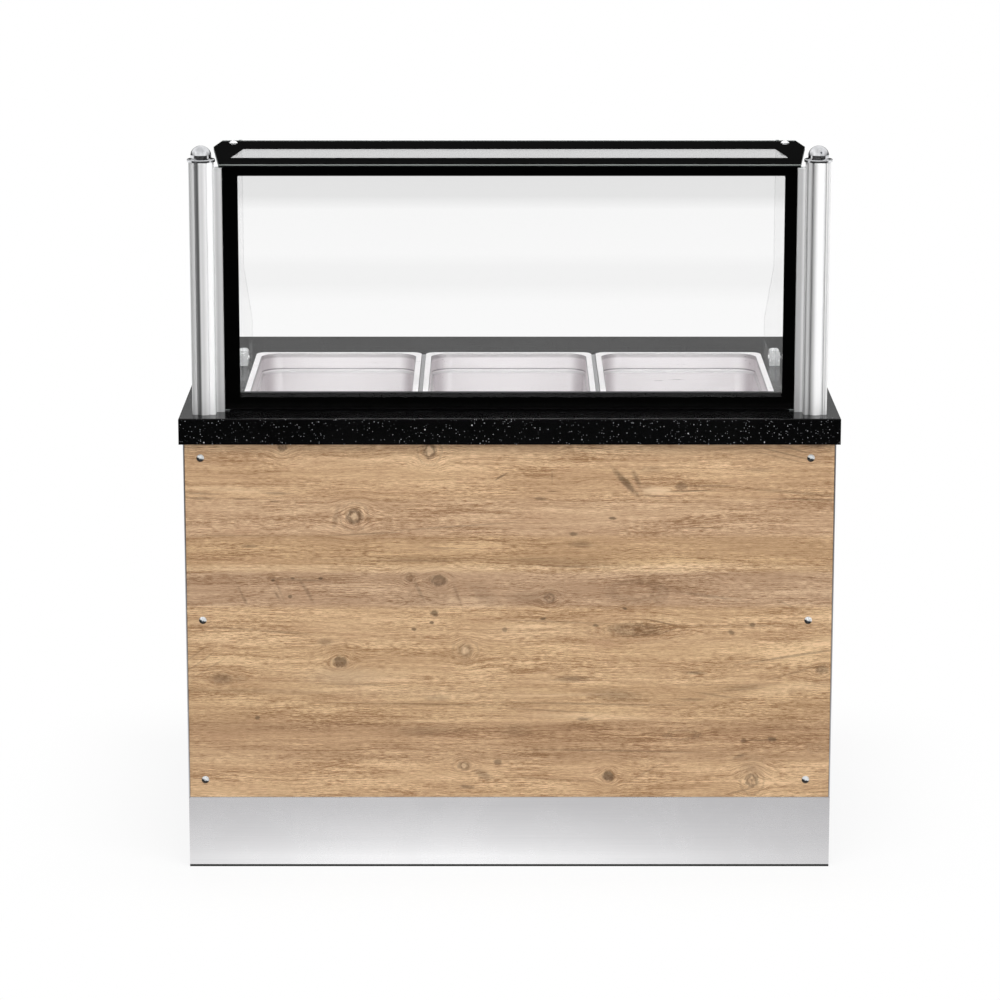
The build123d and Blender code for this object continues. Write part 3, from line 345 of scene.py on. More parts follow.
def layFloor():
    mesh = bpy.data.meshes.new("floor")
    disc = bmesh.new()
    bmesh.ops.create_circle(disc, cap_ends=True, segments=96, radius=room["floorRadius"])
    disc.to_mesh(mesh)
    disc.free()
    floor = bpy.data.objects.new("floor", mesh)
    scene.collection.objects.link(floor)
    material = newMaterial("paleFloor")
    path = put("LightPath").outputs
    place = axes(put("NewGeometry").outputs["Position"])
    across, deep = (calc("MAXIMUM", less(absolute(place[axis]), room["foot"][axis]), 0) for axis in (0, 1))
    away = calc("SQRT", calc("ADD", times(across, across), times(deep, deep)))
    matt = out("BsdfDiffuse", {0: (0.9, 0.9, 0.9, 1)})
    white = out("Emission", {0: (1, 1, 1, 1), 1: 1})
    shown = mixShader(ease(away, 0, room["fade"], 0.84, 1), matt, white)
    # towards the customer the mirrored floor is darker, as a room is
    mirrored = out("Emission", {0: rampOver(place[1], -4.4, 0, room["mirrorFront"]), 1: 1})
    bounce = out("BsdfDiffuse", {0: (0.8, 0.8, 0.8, 1)})
    put("OutputMaterial", {"Surface": byRay(path, bounce, shown, mirrored)})
    mesh.materials.append(material)


lightRoom()
layFloor()
print("camera, lamps and floor set")

# Metals.

def sheetMetal(name, look):
    # brushed or drawn metal: look gives tone, brush direction, gloss and relief
    material, place = newMaterial(name), spot()
    lines = use(brushLines, place=place, stretch=look["stretch"], broken=look.get("broken", 0.5))
    marks = handled(place, look.get("marks", 6), look["rough"])
    tone = blendTone(lines["lines"], tint(*look["dark"]), tint(*look["light"]))
    tone = blendTone(worn(place, 0.0008, 0.6), tone, tint(*look.get("bright", (228, 228, 230))))
    # painted light and reflections, where the look gives them, multiplied into the tone
    if "paintedLight" in look:
        tone = blendTone(1, tone, look["paintedLight"](place), "MULTIPLY")
    gloss = timesPlus(lines["lines"], look.get("lineGloss", 0.06), marks["rough"])
    surface(lines["height"], look["relief"], 0.0002, colour=tone, metal=look.get("metal", 1), rough=gloss)
    return material


def greys(stops):
    # ramp stops from (place, level read on screen)
    return [(where, tint(level, level, level)) for where, level in stops]


def plinthPaintedLight(place):
    # painted light: the floor's light on the plinth, strongest low down and left of the middle
    across, _, height = axes(place)
    low = rampOver(height, 0.134, 0, [(0, 0.12), (0.12, 0.12), (0.3, 0.24), (0.6, 0.52), (0.76, 0.78),
                                        (0.85, 1), (1, 1)])
    off = calc("DIVIDE", less(across, -0.13), 0.62)
    bell = calc("EXPONENT", times(times(off, off), -0.9))
    return blendTone(times(timesPlus(low, 0.85, 0.15), bell), tint(196, 195, 196), tint(255, 255, 255))


def panPaintedLight(place):
    # painted highlights and shade: a bright collar, a fine dark line over the shoulder, greyer side walls
    # and corners where they face sideways, and a highlight line round the rolled rim where it faces up
    height, facing = axes(place)[2], facings()
    lines = rampOver(height, 0.816, 0.828, greys([
        (0, 250), (0.14, 236), (0.24, 200), (0.5, 210), (0.6, 250), (0.66, 236), (0.74, 180), (0.82, 170),
        (0.88, 220), (0.94, 255), (1, 255)]))
    side = ease(absolute(facing[0]), 0.2, 0.85)
    lines = blendTone(times(side, ease(facing[2], 0.9, 0.5)), lines, tint(206, 202, 204), "MULTIPLY")
    rolled = toneRamp(facing[2], greys([(0, 214), (0.3, 178), (0.8, 190), (0.95, 254), (1, 255)]))
    return blendTone(ease(height, 0.846, 0.85), lines, rolled, "MULTIPLY")


def screwPaintedReflection(place):
    # painted reflection: the domes pale where they would mirror the room above, dark where they would mirror the
    # floor line below
    facing = facings()
    return rampOver(timesPlus(facing[0], 0.35, facing[2]), -0.5, 0.5,
                    greys([(0, 30), (0.38, 24), (0.46, 96), (0.56, 214), (0.8, 255), (1, 236)]))


def postPaintedReflection(place):
    # painted reflection: bands of grey across each post, for what the fluted face would mirror
    across = axes(place)[0]
    left = rampOver(across, -0.577, -0.5195, greys(postReflectionBands["left"]))
    right = rampOver(across, 0.5195, 0.577, greys(postReflectionBands["right"]))
    return blendTone(calc("GREATER_THAN", across, 0), left, right)


postReflectionBands = {
    "left": [(0, 200), (0.05, 172), (0.16, 208), (0.22, 100), (0.29, 84), (0.34, 214), (0.42, 206), (0.5, 228),
             (0.58, 254), (0.72, 254), (0.77, 224), (0.84, 196), (0.93, 210), (1, 204)],
    "right": [(0, 194), (0.14, 204), (0.2, 244), (0.24, 238), (0.27, 116), (0.31, 192), (0.37, 188),
              (0.41, 150), (0.47, 162), (0.58, 240), (0.64, 255), (0.82, 255), (0.85, 146), (0.88, 236),
              (0.92, 200), (0.96, 240), (1, 240)],
}

sheets = {
    "plinthSteel": {"dark": (246, 246, 247), "light": (254, 253, 254), "stretch": (7, 900, 900),
                    "rough": (0.22, 0.28), "relief": 0.03, "paintedLight": plinthPaintedLight},
    "controlSteel": {"dark": (196, 197, 199), "light": (216, 217, 219), "stretch": (7, 900, 900),
                     "rough": (0.22, 0.26), "relief": 0.12},
    "panelSteel": {"dark": (186, 187, 190), "light": (212, 213, 215), "stretch": (900, 900, 7),
                   "rough": (0.25, 0.29), "relief": 0.14},
    "doorSteel": {"dark": (188, 189, 192), "light": (214, 215, 217), "stretch": (900, 900, 6),
                  "rough": (0.24, 0.285), "relief": 0.14, "marks": 5},
    "panSteel": {"dark": (250, 247, 248), "light": (254, 252, 253), "stretch": (22, 420, 420),
                 "rough": (0.26, 0.32), "relief": 0.03, "broken": 0.8, "marks": 11, "bright": (254, 254, 254),
                 "metal": 0.5, "paintedLight": panPaintedLight},
    "screwSteel": {"dark": (214, 218, 220), "light": (252, 253, 254), "stretch": (300, 300, 300),
                   "rough": (0.16, 0.28), "relief": 0.1, "marks": 60, "metal": 0.35, "paintedLight": screwPaintedReflection},
    "clampSteel": {"dark": (222, 224, 226), "light": (255, 255, 255), "stretch": (260, 260, 260),
                   "rough": (0.14, 0.24), "relief": 0.5, "marks": 60, "bright": (254, 254, 254), "metal": 0.45},
    "tankSteel": {"dark": (190, 190, 192), "light": (214, 214, 215), "stretch": (500, 12, 500),
                  "rough": (0.26, 0.4), "relief": 0.08, "marks": 8},
    "tubeSteel": {"dark": (180, 181, 184), "light": (205, 206, 208), "stretch": (700, 700, 8),
                  "rough": (0.28, 0.4), "relief": 0.1},
    "railSteel": {"dark": (180, 181, 184), "light": (205, 206, 208), "stretch": (8, 8, 700),
                  "rough": (0.28, 0.4), "relief": 0.1},
    "handleSteel": {"dark": (200, 201, 203), "light": (226, 227, 229), "stretch": (700, 700, 10),
                    "rough": (0.14, 0.24), "relief": 0.08},
    "postAluminium": {"dark": (250, 250, 251), "light": (255, 255, 255), "stretch": (1100, 1100, 3),
                      "rough": (0.16, 0.2), "relief": 0.04, "lineGloss": 0.04, "bright": (254, 254, 254),
                      "metal": 0.1, "paintedLight": postPaintedReflection},
    "blackAluminium": {"dark": (10, 10, 11), "light": (20, 20, 21), "stretch": (6, 900, 900),
                       "rough": (0.35, 0.45), "relief": 0.12, "bright": (46, 46, 48)},
    "zincScrew": {"dark": (176, 178, 182), "light": (206, 208, 212), "stretch": (300, 300, 300),
                  "rough": (0.28, 0.42), "relief": 0.1, "marks": 60},
}
metals = {name: sheetMetal(name, look) for name, look in sheets.items()}

polish = {"bright": (238, 239, 241), "cloudy": (214, 215, 218), "rough": (0.05, 0.13)}


def chromePlate():
    material, place = newMaterial("chromePlate"), spot()
    marks = handled(place, 70, polish["rough"])
    tone = blendTone(marks["mask"], tint(*polish["bright"]), tint(*polish["cloudy"]))
    surface(cloud(place, 240), 0.06, 0.0003, colour=tone, metal=1, rough=marks["rough"])
    return material


def galvanisedSheet():
    material, place = newMaterial("galvanisedSheet"), spot()
    flake = put("TexVoronoi", {"Vector": place, "Scale": 95}).outputs
    pick = put("SeparateColor", {0: flake["Color"]}).outputs
    tone = blendTone(pick[0], tint(150, 155, 160), tint(196, 201, 206))
    tone = blendTone(use(dustFall, place=place, amount=0.5)["mask"], tone, tint(168, 165, 158))
    surface(flake["Distance"], 0.12, 0.0004, colour=tone, metal=0.9, rough=timesPlus(pick[1], 0.2, 0.34))
    return material


def heaterSheath():
    # steel sheath, straw and blue where it has been hot
    material, place = newMaterial("heaterSheath"), spot()
    heat = cloud(place, 16, 3, 0.6)
    tone = toneRamp(heat, [(0.25, tint(120, 116, 112)), (0.45, tint(150, 128, 92)), (0.58, tint(112, 84, 78)),
                           (0.72, tint(74, 84, 104))])
    surface(cloud(place, 900), 0.15, 0.0003, colour=tone, metal=1, rough=timesPlus(heat, 0.25, 0.28))
    return material


def platedBrass():
    material, place = newMaterial("platedBrass"), spot()
    marks = handled(place, 45, (0.2, 0.42))
    tone = blendTone(marks["mask"], tint(206, 176, 108), tint(168, 134, 74))
    tone = blendTone(worn(place, 0.0009, 0.9), tone, tint(232, 206, 146))
    surface(cloud(place, 1400), 0.12, 0.0002, colour=tone, metal=1, rough=marks["rough"])
    return material


metals.update(chromePlate=chromePlate(), galvanisedSheet=galvanisedSheet(), heaterSheath=heaterSheath(),
              platedBrass=platedBrass())
print("metals made")

# Stone, wood and boards.

stone = {"ground": (3, 3, 3), "cloudy": (7, 7, 8), "fleck": (150, 152, 156), "spark": (206, 208, 212),
         "rough": (0.12, 0.2), "specular": 0.26}


def blackGranite():
    material, place = newMaterial("blackGranite"), spot()
    patch = ease(cloud(place, 330, 3, 0.7), 0.42, 0.72)
    ground = blendTone(patch, tint(*stone["ground"]), tint(*stone["cloudy"]))
    fine = use(crystals, place=place, scale=330, share=0.24, size=0.26)
    wide = use(crystals, place=place, scale=130, share=0.14, size=0.15)
    ground = blendTone(times(fine["mask"], fine["light"]), ground, tint(*stone["fleck"]))
    tone = blendTone(times(wide["mask"], wide["light"]), ground, tint(*stone["spark"]))
    marks = handled(place, 5, stone["rough"])
    tone = blendTone(worn(place, 0.0012, 0.35), tone, tint(86, 88, 92))
    surface(cloud(place, 800), 0.03, 0.0001, colour=tone, rough=marks["rough"], specular=stone["specular"])
    return material


# The front board: planks of tone by height, grain that flows round knots, and marks drawn one by one.
# A mark: middle x and height, half width and half height in mm, turn in degrees, darkness, softness of the
# outline and hollowness (0 solid, 100 a ring) in hundredths. Knots then push the grain by so many mm.
board = {
    "foot": 134, "height": 668,
    "planks": [
        (0, (197, 162, 124)), (0.095, (194, 159, 122)), (0.11, (183, 149, 114)), (0.172, (180, 145, 110)),
        (0.182, (170, 135, 101)), (0.21, (172, 138, 104)), (0.222, (188, 154, 117)), (0.315, (190, 156, 118)),
        (0.33, (192, 158, 121)), (0.425, (193, 159, 121)), (0.44, (194, 160, 123)), (0.535, (192, 158, 121)),
        (0.55, (178, 146, 116)), (0.635, (176, 144, 114)), (0.645, (200, 168, 132)), (0.655, (198, 166, 130)),
        (0.665, (181, 147, 110)), (0.735, (180, 146, 110)), (0.748, (186, 153, 121)), (0.838, (187, 154, 121)),
        (0.85, (186, 152, 117)), (0.925, (187, 153, 117)), (0.938, (194, 160, 124)), (1, (196, 162, 126)),
    ],
    "knots": [
        (-282.9, 665.4, 14.2, 14.1, 0, 75, 35, 75, 16), (-412.5, 798.2, 9.5, 10.8, 0, 70, 30, 30, 12),
        (-145.2, 787.9, 12.1, 14.1, 0, 72, 35, 75, 15), (-129.8, 546, 14.7, 10.3, 0, 68, 40, 35, 12),
        (-183.4, 551.2, 8.4, 8.7, 0, 38, 50, 80, 9), (73.1, 513, 11.6, 9.2, 0, 62, 50, 70, 10),
        (-81.1, 413.6, 12.6, 11.9, 20, 50, 60, 75, 12), (230.6, 452.8, 47.2, 13, 0, 50, 45, 45, 10),
        (-311.4, 392.1, 13.7, 10.3, 0, 75, 50, 10, 14), (182.5, 173.8, 10, 9.8, 0, 85, 40, 12, 12),
        (448.9, 165.2, 12.1, 14.1, 0, 66, 30, 85, 14), (-83.8, 193.6, 11.6, 7.6, 10, 60, 45, 70, 9),
        (-528.3, 359.8, 17.9, 8.7, 0, 55, 80, 10, 8), (574.4, 376.9, 11, 7.6, 0, 60, 50, 20, 8),
    ],
    "flecks": [
        (-473.1, 610.3, 14.7, 2.4, 0, 50, 60), (-164.8, 525.5, 3.2, 22.8, -25, 42, 70),
        (-137.1, 484.2, 6.8, 6, 20, 75, 40), (-142.9, 466.5, 4.2, 2.8, 0, 80, 40),
        (-175.5, 453.9, 4.2, 3.5, 0, 72, 40), (-8.3, 453.1, 4.8, 4.1, 0, 75, 40, 10),
        (116.7, 633.2, 7.9, 3.5, 0, 68, 50), (130.5, 613.5, 17.9, 5.4, 0, 42, 70, 10),
        (55.5, 699.2, 10, 2.6, 4, 62, 60), (187.8, 662.5, 6.8, 2.4, 3, 80, 40),
        (-15.6, 740.1, 11.6, 1.7, -30, 65, 50), (77.2, 741.3, 1.3, 13, 0, 30, 70),
        (212.1, 728.3, 30.5, 5.4, 48, 70, 60), (249.9, 716.3, 14.7, 9.8, 12, 34, 80, 10),
        (312.9, 722.3, 9.5, 7.6, 0, 60, 50, 15), (367.5, 722.8, 48.3, 1.8, 0, 40, 80),
        (115.6, 359.9, 26.2, 5, 0, 55, 90), (-133.2, 323.8, 18.9, 4.8, 0, 50, 90, 20),
        (194.8, 328.9, 42, 9.8, 4, 40, 90), (137.4, 283.2, 12.6, 2.4, 0, 75, 60),
        (-160.2, 259.8, 39.9, 7.6, 0, 30, 90), (9, 259.8, 22.1, 9.8, 0, 22, 90),
        (-48.3, 176.7, 15.8, 6.5, 32, 55, 80, 10), (-21.1, 200.6, 6.3, 4.9, 0, 72, 50, 20),
        (-78.3, 153, 12.6, 2.8, 8, 60, 70), (444.9, 461.9, 5.8, 3.9, 0, 70, 50),
        (406.7, 447.9, 5.8, 3.7, 20, 65, 50), (340.8, 371.3, 16.8, 2.6, 2, 60, 70),
        (335.4, 320.4, 21, 2.6, 0, 42, 80), (379.5, 328.9, 35.7, 1.7, 9, 42, 80),
        (319.2, 252.9, 32.6, 9.8, 0, 40, 25, 97), (484.2, 244.3, 7.4, 4.1, 0, 72, 50),
        (432.6, 241.5, 4.7, 3.9, 0, 60, 50), (458.9, 242.9, 25.2, 1, 0, 50, 50),
        (444.9, 187.9, 17.9, 11.9, 0, 32, 90), (517.6, 402.9, 81.9, 2.1, -9, 50, 70),
        (434.7, 344.7, 41, 3.9, -6, 34, 90), (-387.4, 547.2, 46.2, 1.8, 3, 55, 80, 30),
        (-485.1, 509.2, 9.5, 2.6, 62, 42, 80), (-425.2, 517.9, 8.4, 2.4, 58, 42, 80),
        (-367.5, 522.2, 12.6, 2.4, 66, 42, 80), (-401.5, 515.5, 3.6, 3.3, 0, 70, 40),
        (-310.8, 362.8, 52.5, 15.2, 0, 30, 90), (-337.2, 430, 12.6, 5.4, 0, 40, 80),
        (-464, 285.8, 4.2, 3.7, 0, 70, 40), (-494.6, 359.6, 9.5, 5.4, 0, 25, 90),
        (78.1, 712.9, 8.4, 1.7, 0, 40, 70), (-316.1, 664.3, 4.2, 18.4, 14, 36, 70, 20),
        (561.8, 227.3, 12.6, 9.8, 0, 20, 40, 90), (-126, 606.8, 31.5, 1.5, 2, 35, 80),
        (-266.8, 633.3, 62, 1.4, -3, 50, 70), (-101.8, 646.9, 103, 1.3, -4, 45, 70),
        (-563.7, 709.1, 29, 2.2, 3, 40, 80), (-562, 699.8, 22, 2, 0, 50, 80), (-488, 698.5, 15, 1.6, 0, 50, 70),
        (-423, 709.1, 20, 2, 2, 55, 70), (-427.6, 694.2, 8, 1.4, 0, 55, 60), (-501.8, 629.9, 90, 1, 0, 35, 70),
        (-206, 586, 120, 5, 0, 20, 95), (-165.6, 582.6, 80, 1.8, 0, 38, 80), (-432.5, 546.4, 3.4, 2.6, 0, 85, 40),
        (-396.7, 549.8, 4, 2, 0, 80, 50), (-345.1, 549.8, 4.4, 2.2, 0, 85, 50), (-491.5, 524, 20, 1.8, 66, 30, 90),
        (-421, 528, 20, 1.8, 68, 30, 90), (-372, 527, 22, 2.6, 60, 42, 90), (-95.6, 518.7, 20, 2.4, 70, 34, 90),
        (-46, 516.6, 26, 13, 30, 26, 95), (-150, 512, 60, 16, 0, 14, 95), (-503.9, 454.9, 47, 1.4, 3, 42, 80),
        (-417.3, 448.4, 40, 1.6, 4, 50, 80), (-283.3, 349.4, 62, 1.6, 1, 48, 80),
        (-460.6, 336.5, 130, 4, 1, 22, 95), (-164, 312, 160, 1.5, 1, 36, 80), (-577, 406, 26, 1.3, -38, 34, 80),
        (-565, 394, 30, 1.3, -36, 36, 80), (-552, 380, 30, 1.3, -32, 30, 80), (-130.7, 261, 46, 6, 0, 22, 95),
        (231.9, 733.8, 18, 4, 66, 50, 80), (259, 754, 20, 5, 0, 30, 90), (265, 704, 33, 1.3, 2, 55, 60),
        (332.9, 713.6, 40, 1.6, -2, 60, 60), (508, 781, 45, 1.4, 14, 50, 70), (500, 774, 50, 1.2, 13, 36, 80),
        (520, 790, 36, 1.2, 15, 42, 80), (555.6, 799, 18, 4, 0, 65, 70), (452.5, 753, 22, 4, 0, 30, 95),
        (520.4, 710.4, 72, 2.4, 5, 38, 85), (536.9, 697.6, 57, 1.8, 1, 48, 80), (349.4, 644.4, 35, 1, 0, 40, 70),
        (93.7, 580.5, 93, 7, 2, 22, 95), (48.3, 586.9, 47, 1.5, -2, 42, 80), (118.5, 572, 55, 1.7, 1, 46, 80),
        (276, 521, 15, 17, 0, 34, 40, 94), (232, 527, 56, 20, 0, 30, 30, 97), (42, 514.5, 42, 9, 0, 26, 95),
        (363.9, 516.6, 50, 2.6, 8, 42, 85), (506, 501.7, 17, 1.8, 26, 36, 80), (211, 493.2, 4.6, 2.2, 10, 85, 40),
        (93.7, 468, 90, 1.4, 2, 38, 85), (62, 474, 5.5, 2.2, -8, 80, 50), (157.6, 461.2, 5.5, 2.6, 0, 75, 50),
        (278, 467, 32, 1.3, 13, 55, 70), (286.5, 449, 24, 1.3, -20, 50, 70), (423.7, 461.2, 113, 1, 0, 30, 80),
        (538.9, 376, 55, 1.2, -16, 38, 80), (155.6, 312, 155, 1.6, 1, 46, 80), (83, 299, 82, 1.6, 3, 38, 85),
        (431.7, 348.3, 160, 1, 0, 26, 80), (429.8, 339.8, 41, 1.6, -5, 46, 80), (184.4, 222.7, 155, 1.4, 1, 46, 80),
        (425.8, 212, 12, 3, -20, 50, 70), (448.4, 186, 22, 22, 0, 26, 95), (256.6, 184.3, 35, 1.3, -30, 32, 80),
        (429.8, 146, 25, 1.5, -15, 46, 70), (95.8, 167, 95, 1.2, 3, 26, 85),
    ],
    "glints": [
        (267, 713.6, 24, 6.5, 0, 75, 50), (-275, 365, 75, 12, 0, 36, 95), (-163, 333, 165, 11, 1, 30, 95),
        (-282.9, 665.4, 5, 5, 0, 60, 60), (-145.2, 787.9, 5, 7, 0, 70, 60), (-81.1, 413.6, 6, 6, 0, 60, 60),
        (-83.8, 193.6, 5, 3, 0, 50, 60), (155, 287, 110, 4, 2, 35, 90), (520, 340, 90, 9, -6, 25, 95),
        (95, 329, 95, 2, -1, 40, 90), (-500, 716, 70, 4, 3, 35, 95), (40, 450, 70, 14, 0, 20, 95),
    ],
    "dark": (74, 54, 36), "glint": (224, 194, 158), "pink": (198, 158, 126),
    # layers of grain: scale along and across, detail, roughness and share
    "layers": {"fine": ((0.011, 0, 0.42), 4, 0.7, 0.9), "hair": ((0.07, 0, 0.8), 4, 0.78, 1.7),
               "middle": ((0.005, 0, 0.13), 2, 0.5, 0.5), "broad": ((0.0026, 0, 0.03), 2, 0.5, 0.5)},
    "fibre": [(0, (0.26, 0.21, 0.16, 1)), (0.5, (0.5, 0.5, 0.5, 1)), (1, (0.74, 0.8, 0.84, 1))], "gain": 1.95,
    "warp": 5, "contrast": 2.1, "rough": 0.46, "relief": 0.12,
}

markTakes = {"place": (0, 0, 0), "wobble": 0, "centre": (0, 0, 0), "size": (1, 1, 1), "turn": (0, 0, 0),
             "dark": 0.6, "hollow": 0, "soft": 0.4}


def markBody(given):
    # place in the mark's own measure, reach (1 on its outline), uneven reach and body
    local = out("Mapping", {"Vector": given["place"], "Location": given["centre"], "Rotation": given["turn"],
                            "Scale": given["size"]}, vector_type="TEXTURE")
    reach = put("VectorMath", {0: local}, operation="LENGTH").outputs["Value"]
    uneven = calc("ADD", reach, given["wobble"])
    return local, reach, uneven, ease(uneven, calc("ADD", 1, given["soft"]), less(1, given["soft"]))


def makeKnotGroup():
    group, given, result = newGroup("knotMark", {**markTakes, "push": 0, "shade": 0, "lift": 0},
                                    {"push": 0, "shade": 0})
    local, reach, uneven, body = markBody(given)
    core = less(ease(uneven, 0.7, 0.4), ease(uneven, 0.3, 0))
    mask = less(body, times(times(core, given["hollow"]), 0.85))
    halo = ease(absolute(less(uneven, 1.85)), 0.26, 0)
    halo = times(times(halo, given["hollow"]), 0.45)
    dark = times(calc("MAXIMUM", mask, halo), given["dark"])
    feed(result["shade"], calc("MAXIMUM", given["shade"], dark))
    swell = calc("EXPONENT", times(times(reach, reach), -0.22))
    feed(result["push"], less(given["push"], times(times(axes(local)[2], swell), given["lift"])))
    return group


def makeFleckGroup():
    # the middle number of place carries the shade of the marks so far
    group, given, result = newGroup("fleckMark", markTakes, {"place": (0, 0, 0)})
    _, _, uneven, body = markBody(given)
    mask = less(body, times(ease(uneven, 0.9, 0.5), given["hollow"]))
    parts = axes(given["place"])
    shade = calc("MAXIMUM", parts[1], times(mask, given["dark"]))
    feed(result["place"], out("CombineXYZ", {0: parts[0], 1: shade, 2: parts[2]}))
    return group


def markLook(x, z, wide, tall, turn, dark, soft, hollow=0):
    return {"centre": (x, 0, z), "size": (wide, 1e6, tall), "turn": (0, math.radians(turn), 0), "dark": dark / 100,
            "hollow": hollow / 100, "soft": soft / 100}


def drawMarks(group, across, up, shade, wobble, marks):
    carried = out("CombineXYZ", {0: across, 1: shade, 2: up})
    for mark in marks:
        carried = use(group, place=carried, wobble=wobble, **markLook(*mark))["place"]
    return axes(carried)[1]


def woodLaminate():
    knotMark, fleckMark = makeKnotGroup(), makeFleckGroup()
    material = newMaterial("woodLaminate")
    across, _, up = axes(stretch(spot(), (1000, 1000, 1000)))    # millimetres
    flat = out("CombineXYZ", {0: across, 2: up})
    wobble = timesPlus(cloud(flat, 0.16, 3, 0.6), 1.3, -0.65)
    push = shade = 0
    for *mark, lift in board["knots"]:
        marked = use(knotMark, place=flat, wobble=wobble, push=push, shade=shade, lift=lift, **markLook(*mark))
        push, shade = marked["push"], marked["shade"]
    shade = drawMarks(fleckMark, across, up, shade, wobble, board["flecks"])
    shine = drawMarks(fleckMark, across, up, 0, wobble, board["glints"])
    # the height that the grain follows: bent by slow waves and pushed apart by the knots
    wave = less(cloud(stretch(flat, (0.0042, 0, 0.016)), 1, 3), 0.5)
    flow = calc("ADD", timesPlus(wave, board["warp"] * 4, up), push)
    grain = out("CombineXYZ", {0: across, 2: flow})
    layers = {name: cloud(stretch(grain, scale), 1, detail, rough)
              for name, (scale, detail, rough, share) in board["layers"].items()}
    ring = calc("FRACT", times(cloud(stretch(grain, (0.0021, 0, 0.02)), 1, 1, 0.4), 16))
    growth = ease(absolute(less(ring, 0.5)), 0.13, 0)
    total = 0.5
    for name, layer in layers.items():
        total = timesPlus(less(layer, 0.5), board["layers"][name][3] * board["contrast"], total)
    total = timesPlus(times(growth, layers["middle"]), -0.3, total)
    # sparse sharp fibres, darker and paler than the rest
    streak = cloud(stretch(grain, (0.006, 0, 0.42)), 1, 3, 0.6)
    total = timesPlus(ease(streak, 0.39, 0.3), -0.28, total)
    total = timesPlus(ease(streak, 0.61, 0.7), 0.16, total)
    # calm and lively stretches of grain
    vary = ease(cloud(stretch(flat, (0.005, 0, 0.022))), 0.36, 0.64, 0.55, 1.3)
    total = timesPlus(less(total, 0.5), vary, 0.5)
    height = timesPlus(wave, board["warp"] * 2, up)
    planks = toneRamp(timesPlus(height, 1 / board["height"], -board["foot"] / board["height"]),
                      [(where, tint(*tone)) for where, tone in board["planks"]])
    # light and dark fibres, as a share of the plank's own tone
    fibre = toneRamp(total, board["fibre"])
    tone = out("VectorMath", {0: stretch(planks, fibre), "Scale": board["gain"]}, operation="SCALE")
    pink = ease(cloud(stretch(flat, (0.009, 0, 0.03)), 1, 3, 0.6), 0.5, 0.75)
    tone = blendTone(times(pink, 0.18), tone, tint(*board["pink"]))
    fine = layers["fine"]
    tone = blendTone(times(shade, timesPlus(fine, 0.5, 0.65), clamp=True), tone, tint(*board["dark"]))
    tone = blendTone(times(shine, timesPlus(fine, 0.8, 0.5), clamp=True), tone, tint(*board["glint"]))
    surface(cloud(stretch(flat, (0.03, 0, 0.8)), 1, 2, 0.6), board["relief"], 0.0003, colour=tone,
            specular=0.35, rough=timesPlus(layers["hair"], 0.12, board["rough"] - 0.06))
    return material


def plyEdge():
    # thin layers, turned in each ply
    material, place = newMaterial("plyEdge"), spot()
    layer = calc("FRACT", times(axes(place)[2], 330))
    ply = ease(absolute(less(layer, 0.5)), 0.2, 0.3)
    fibre = cloud(stretch(place, (40, 260, 600)), 1, 3, 0.6)
    tone = blendTone(ply, tint(206, 174, 128), tint(170, 130, 86))
    tone = blendTone(times(fibre, 0.5), tone, tint(140, 102, 64))
    surface(fibre, 0.3, 0.0006, colour=tone, rough=0.7)
    return material


def mineralWool():
    material, place = newMaterial("mineralWool"), spot()
    tuft = cloud(place, 120, 5, 0.7, 1.2)
    strand = cloud(stretch(place, (60, 700, 240)), 1, 4, 0.7, 2)
    tone = toneRamp(timesPlus(strand, 0.5, times(tuft, 0.5)),
                    [(0.3, tint(150, 132, 84)), (0.5, tint(196, 178, 122)), (0.7, tint(224, 210, 164))])
    surface(calc("ADD", tuft, strand), 0.8, 0.004, colour=tone, rough=0.95, sheen=0.3)
    return material


boards = {"blackGranite": blackGranite(), "woodLaminate": woodLaminate(), "plyEdge": plyEdge(),
          "mineralWool": mineralWool()}
print("stone, wood and wool made")

# Glass, plastics and rubber.

# axis: the one that the broad faces look along
# tones of the clear faces by height, from 0.85 m to 1.35 m: a plain tint with painted reflection and shade, a grey
# band part way up the front pane and its darker top, the side panes darker towards the top, the top pane one even
# tint
# edge: tones of the ground edges, from the underside of the top glass to its top
panes = {
    "frontGlass": {"axis": 1, "ior": 1.3, "frost": 0.5, "edge": [(0, tint(150, 165, 160))],
                   "shadeByHeight": [(0, 0.955), (0.28, 0.965), (0.4, 0.96), (0.47, 0.9), (0.53, 0.905), (0.58, 0.95),
                            (0.74, 0.94), (0.79, 0.79), (1, 0.755)]},
    "topGlass": {"axis": 2, "ior": 1.09, "frost": 0.8, "shadeByHeight": [(0, 0.885), (1, 0.88)],
                 "edge": [(0, 0), (0.5, 0), (0.66, tint(118, 123, 120)), (1, tint(150, 155, 152))]},
    "sideGlass": {"axis": 0, "ior": 1.4, "frost": 0.92, "edge": [(0, tint(98, 104, 101))],
                  "shadeByHeight": [(0, 0.975), (0.4, 0.96), (0.7, 0.91), (1, 0.89)]},
}


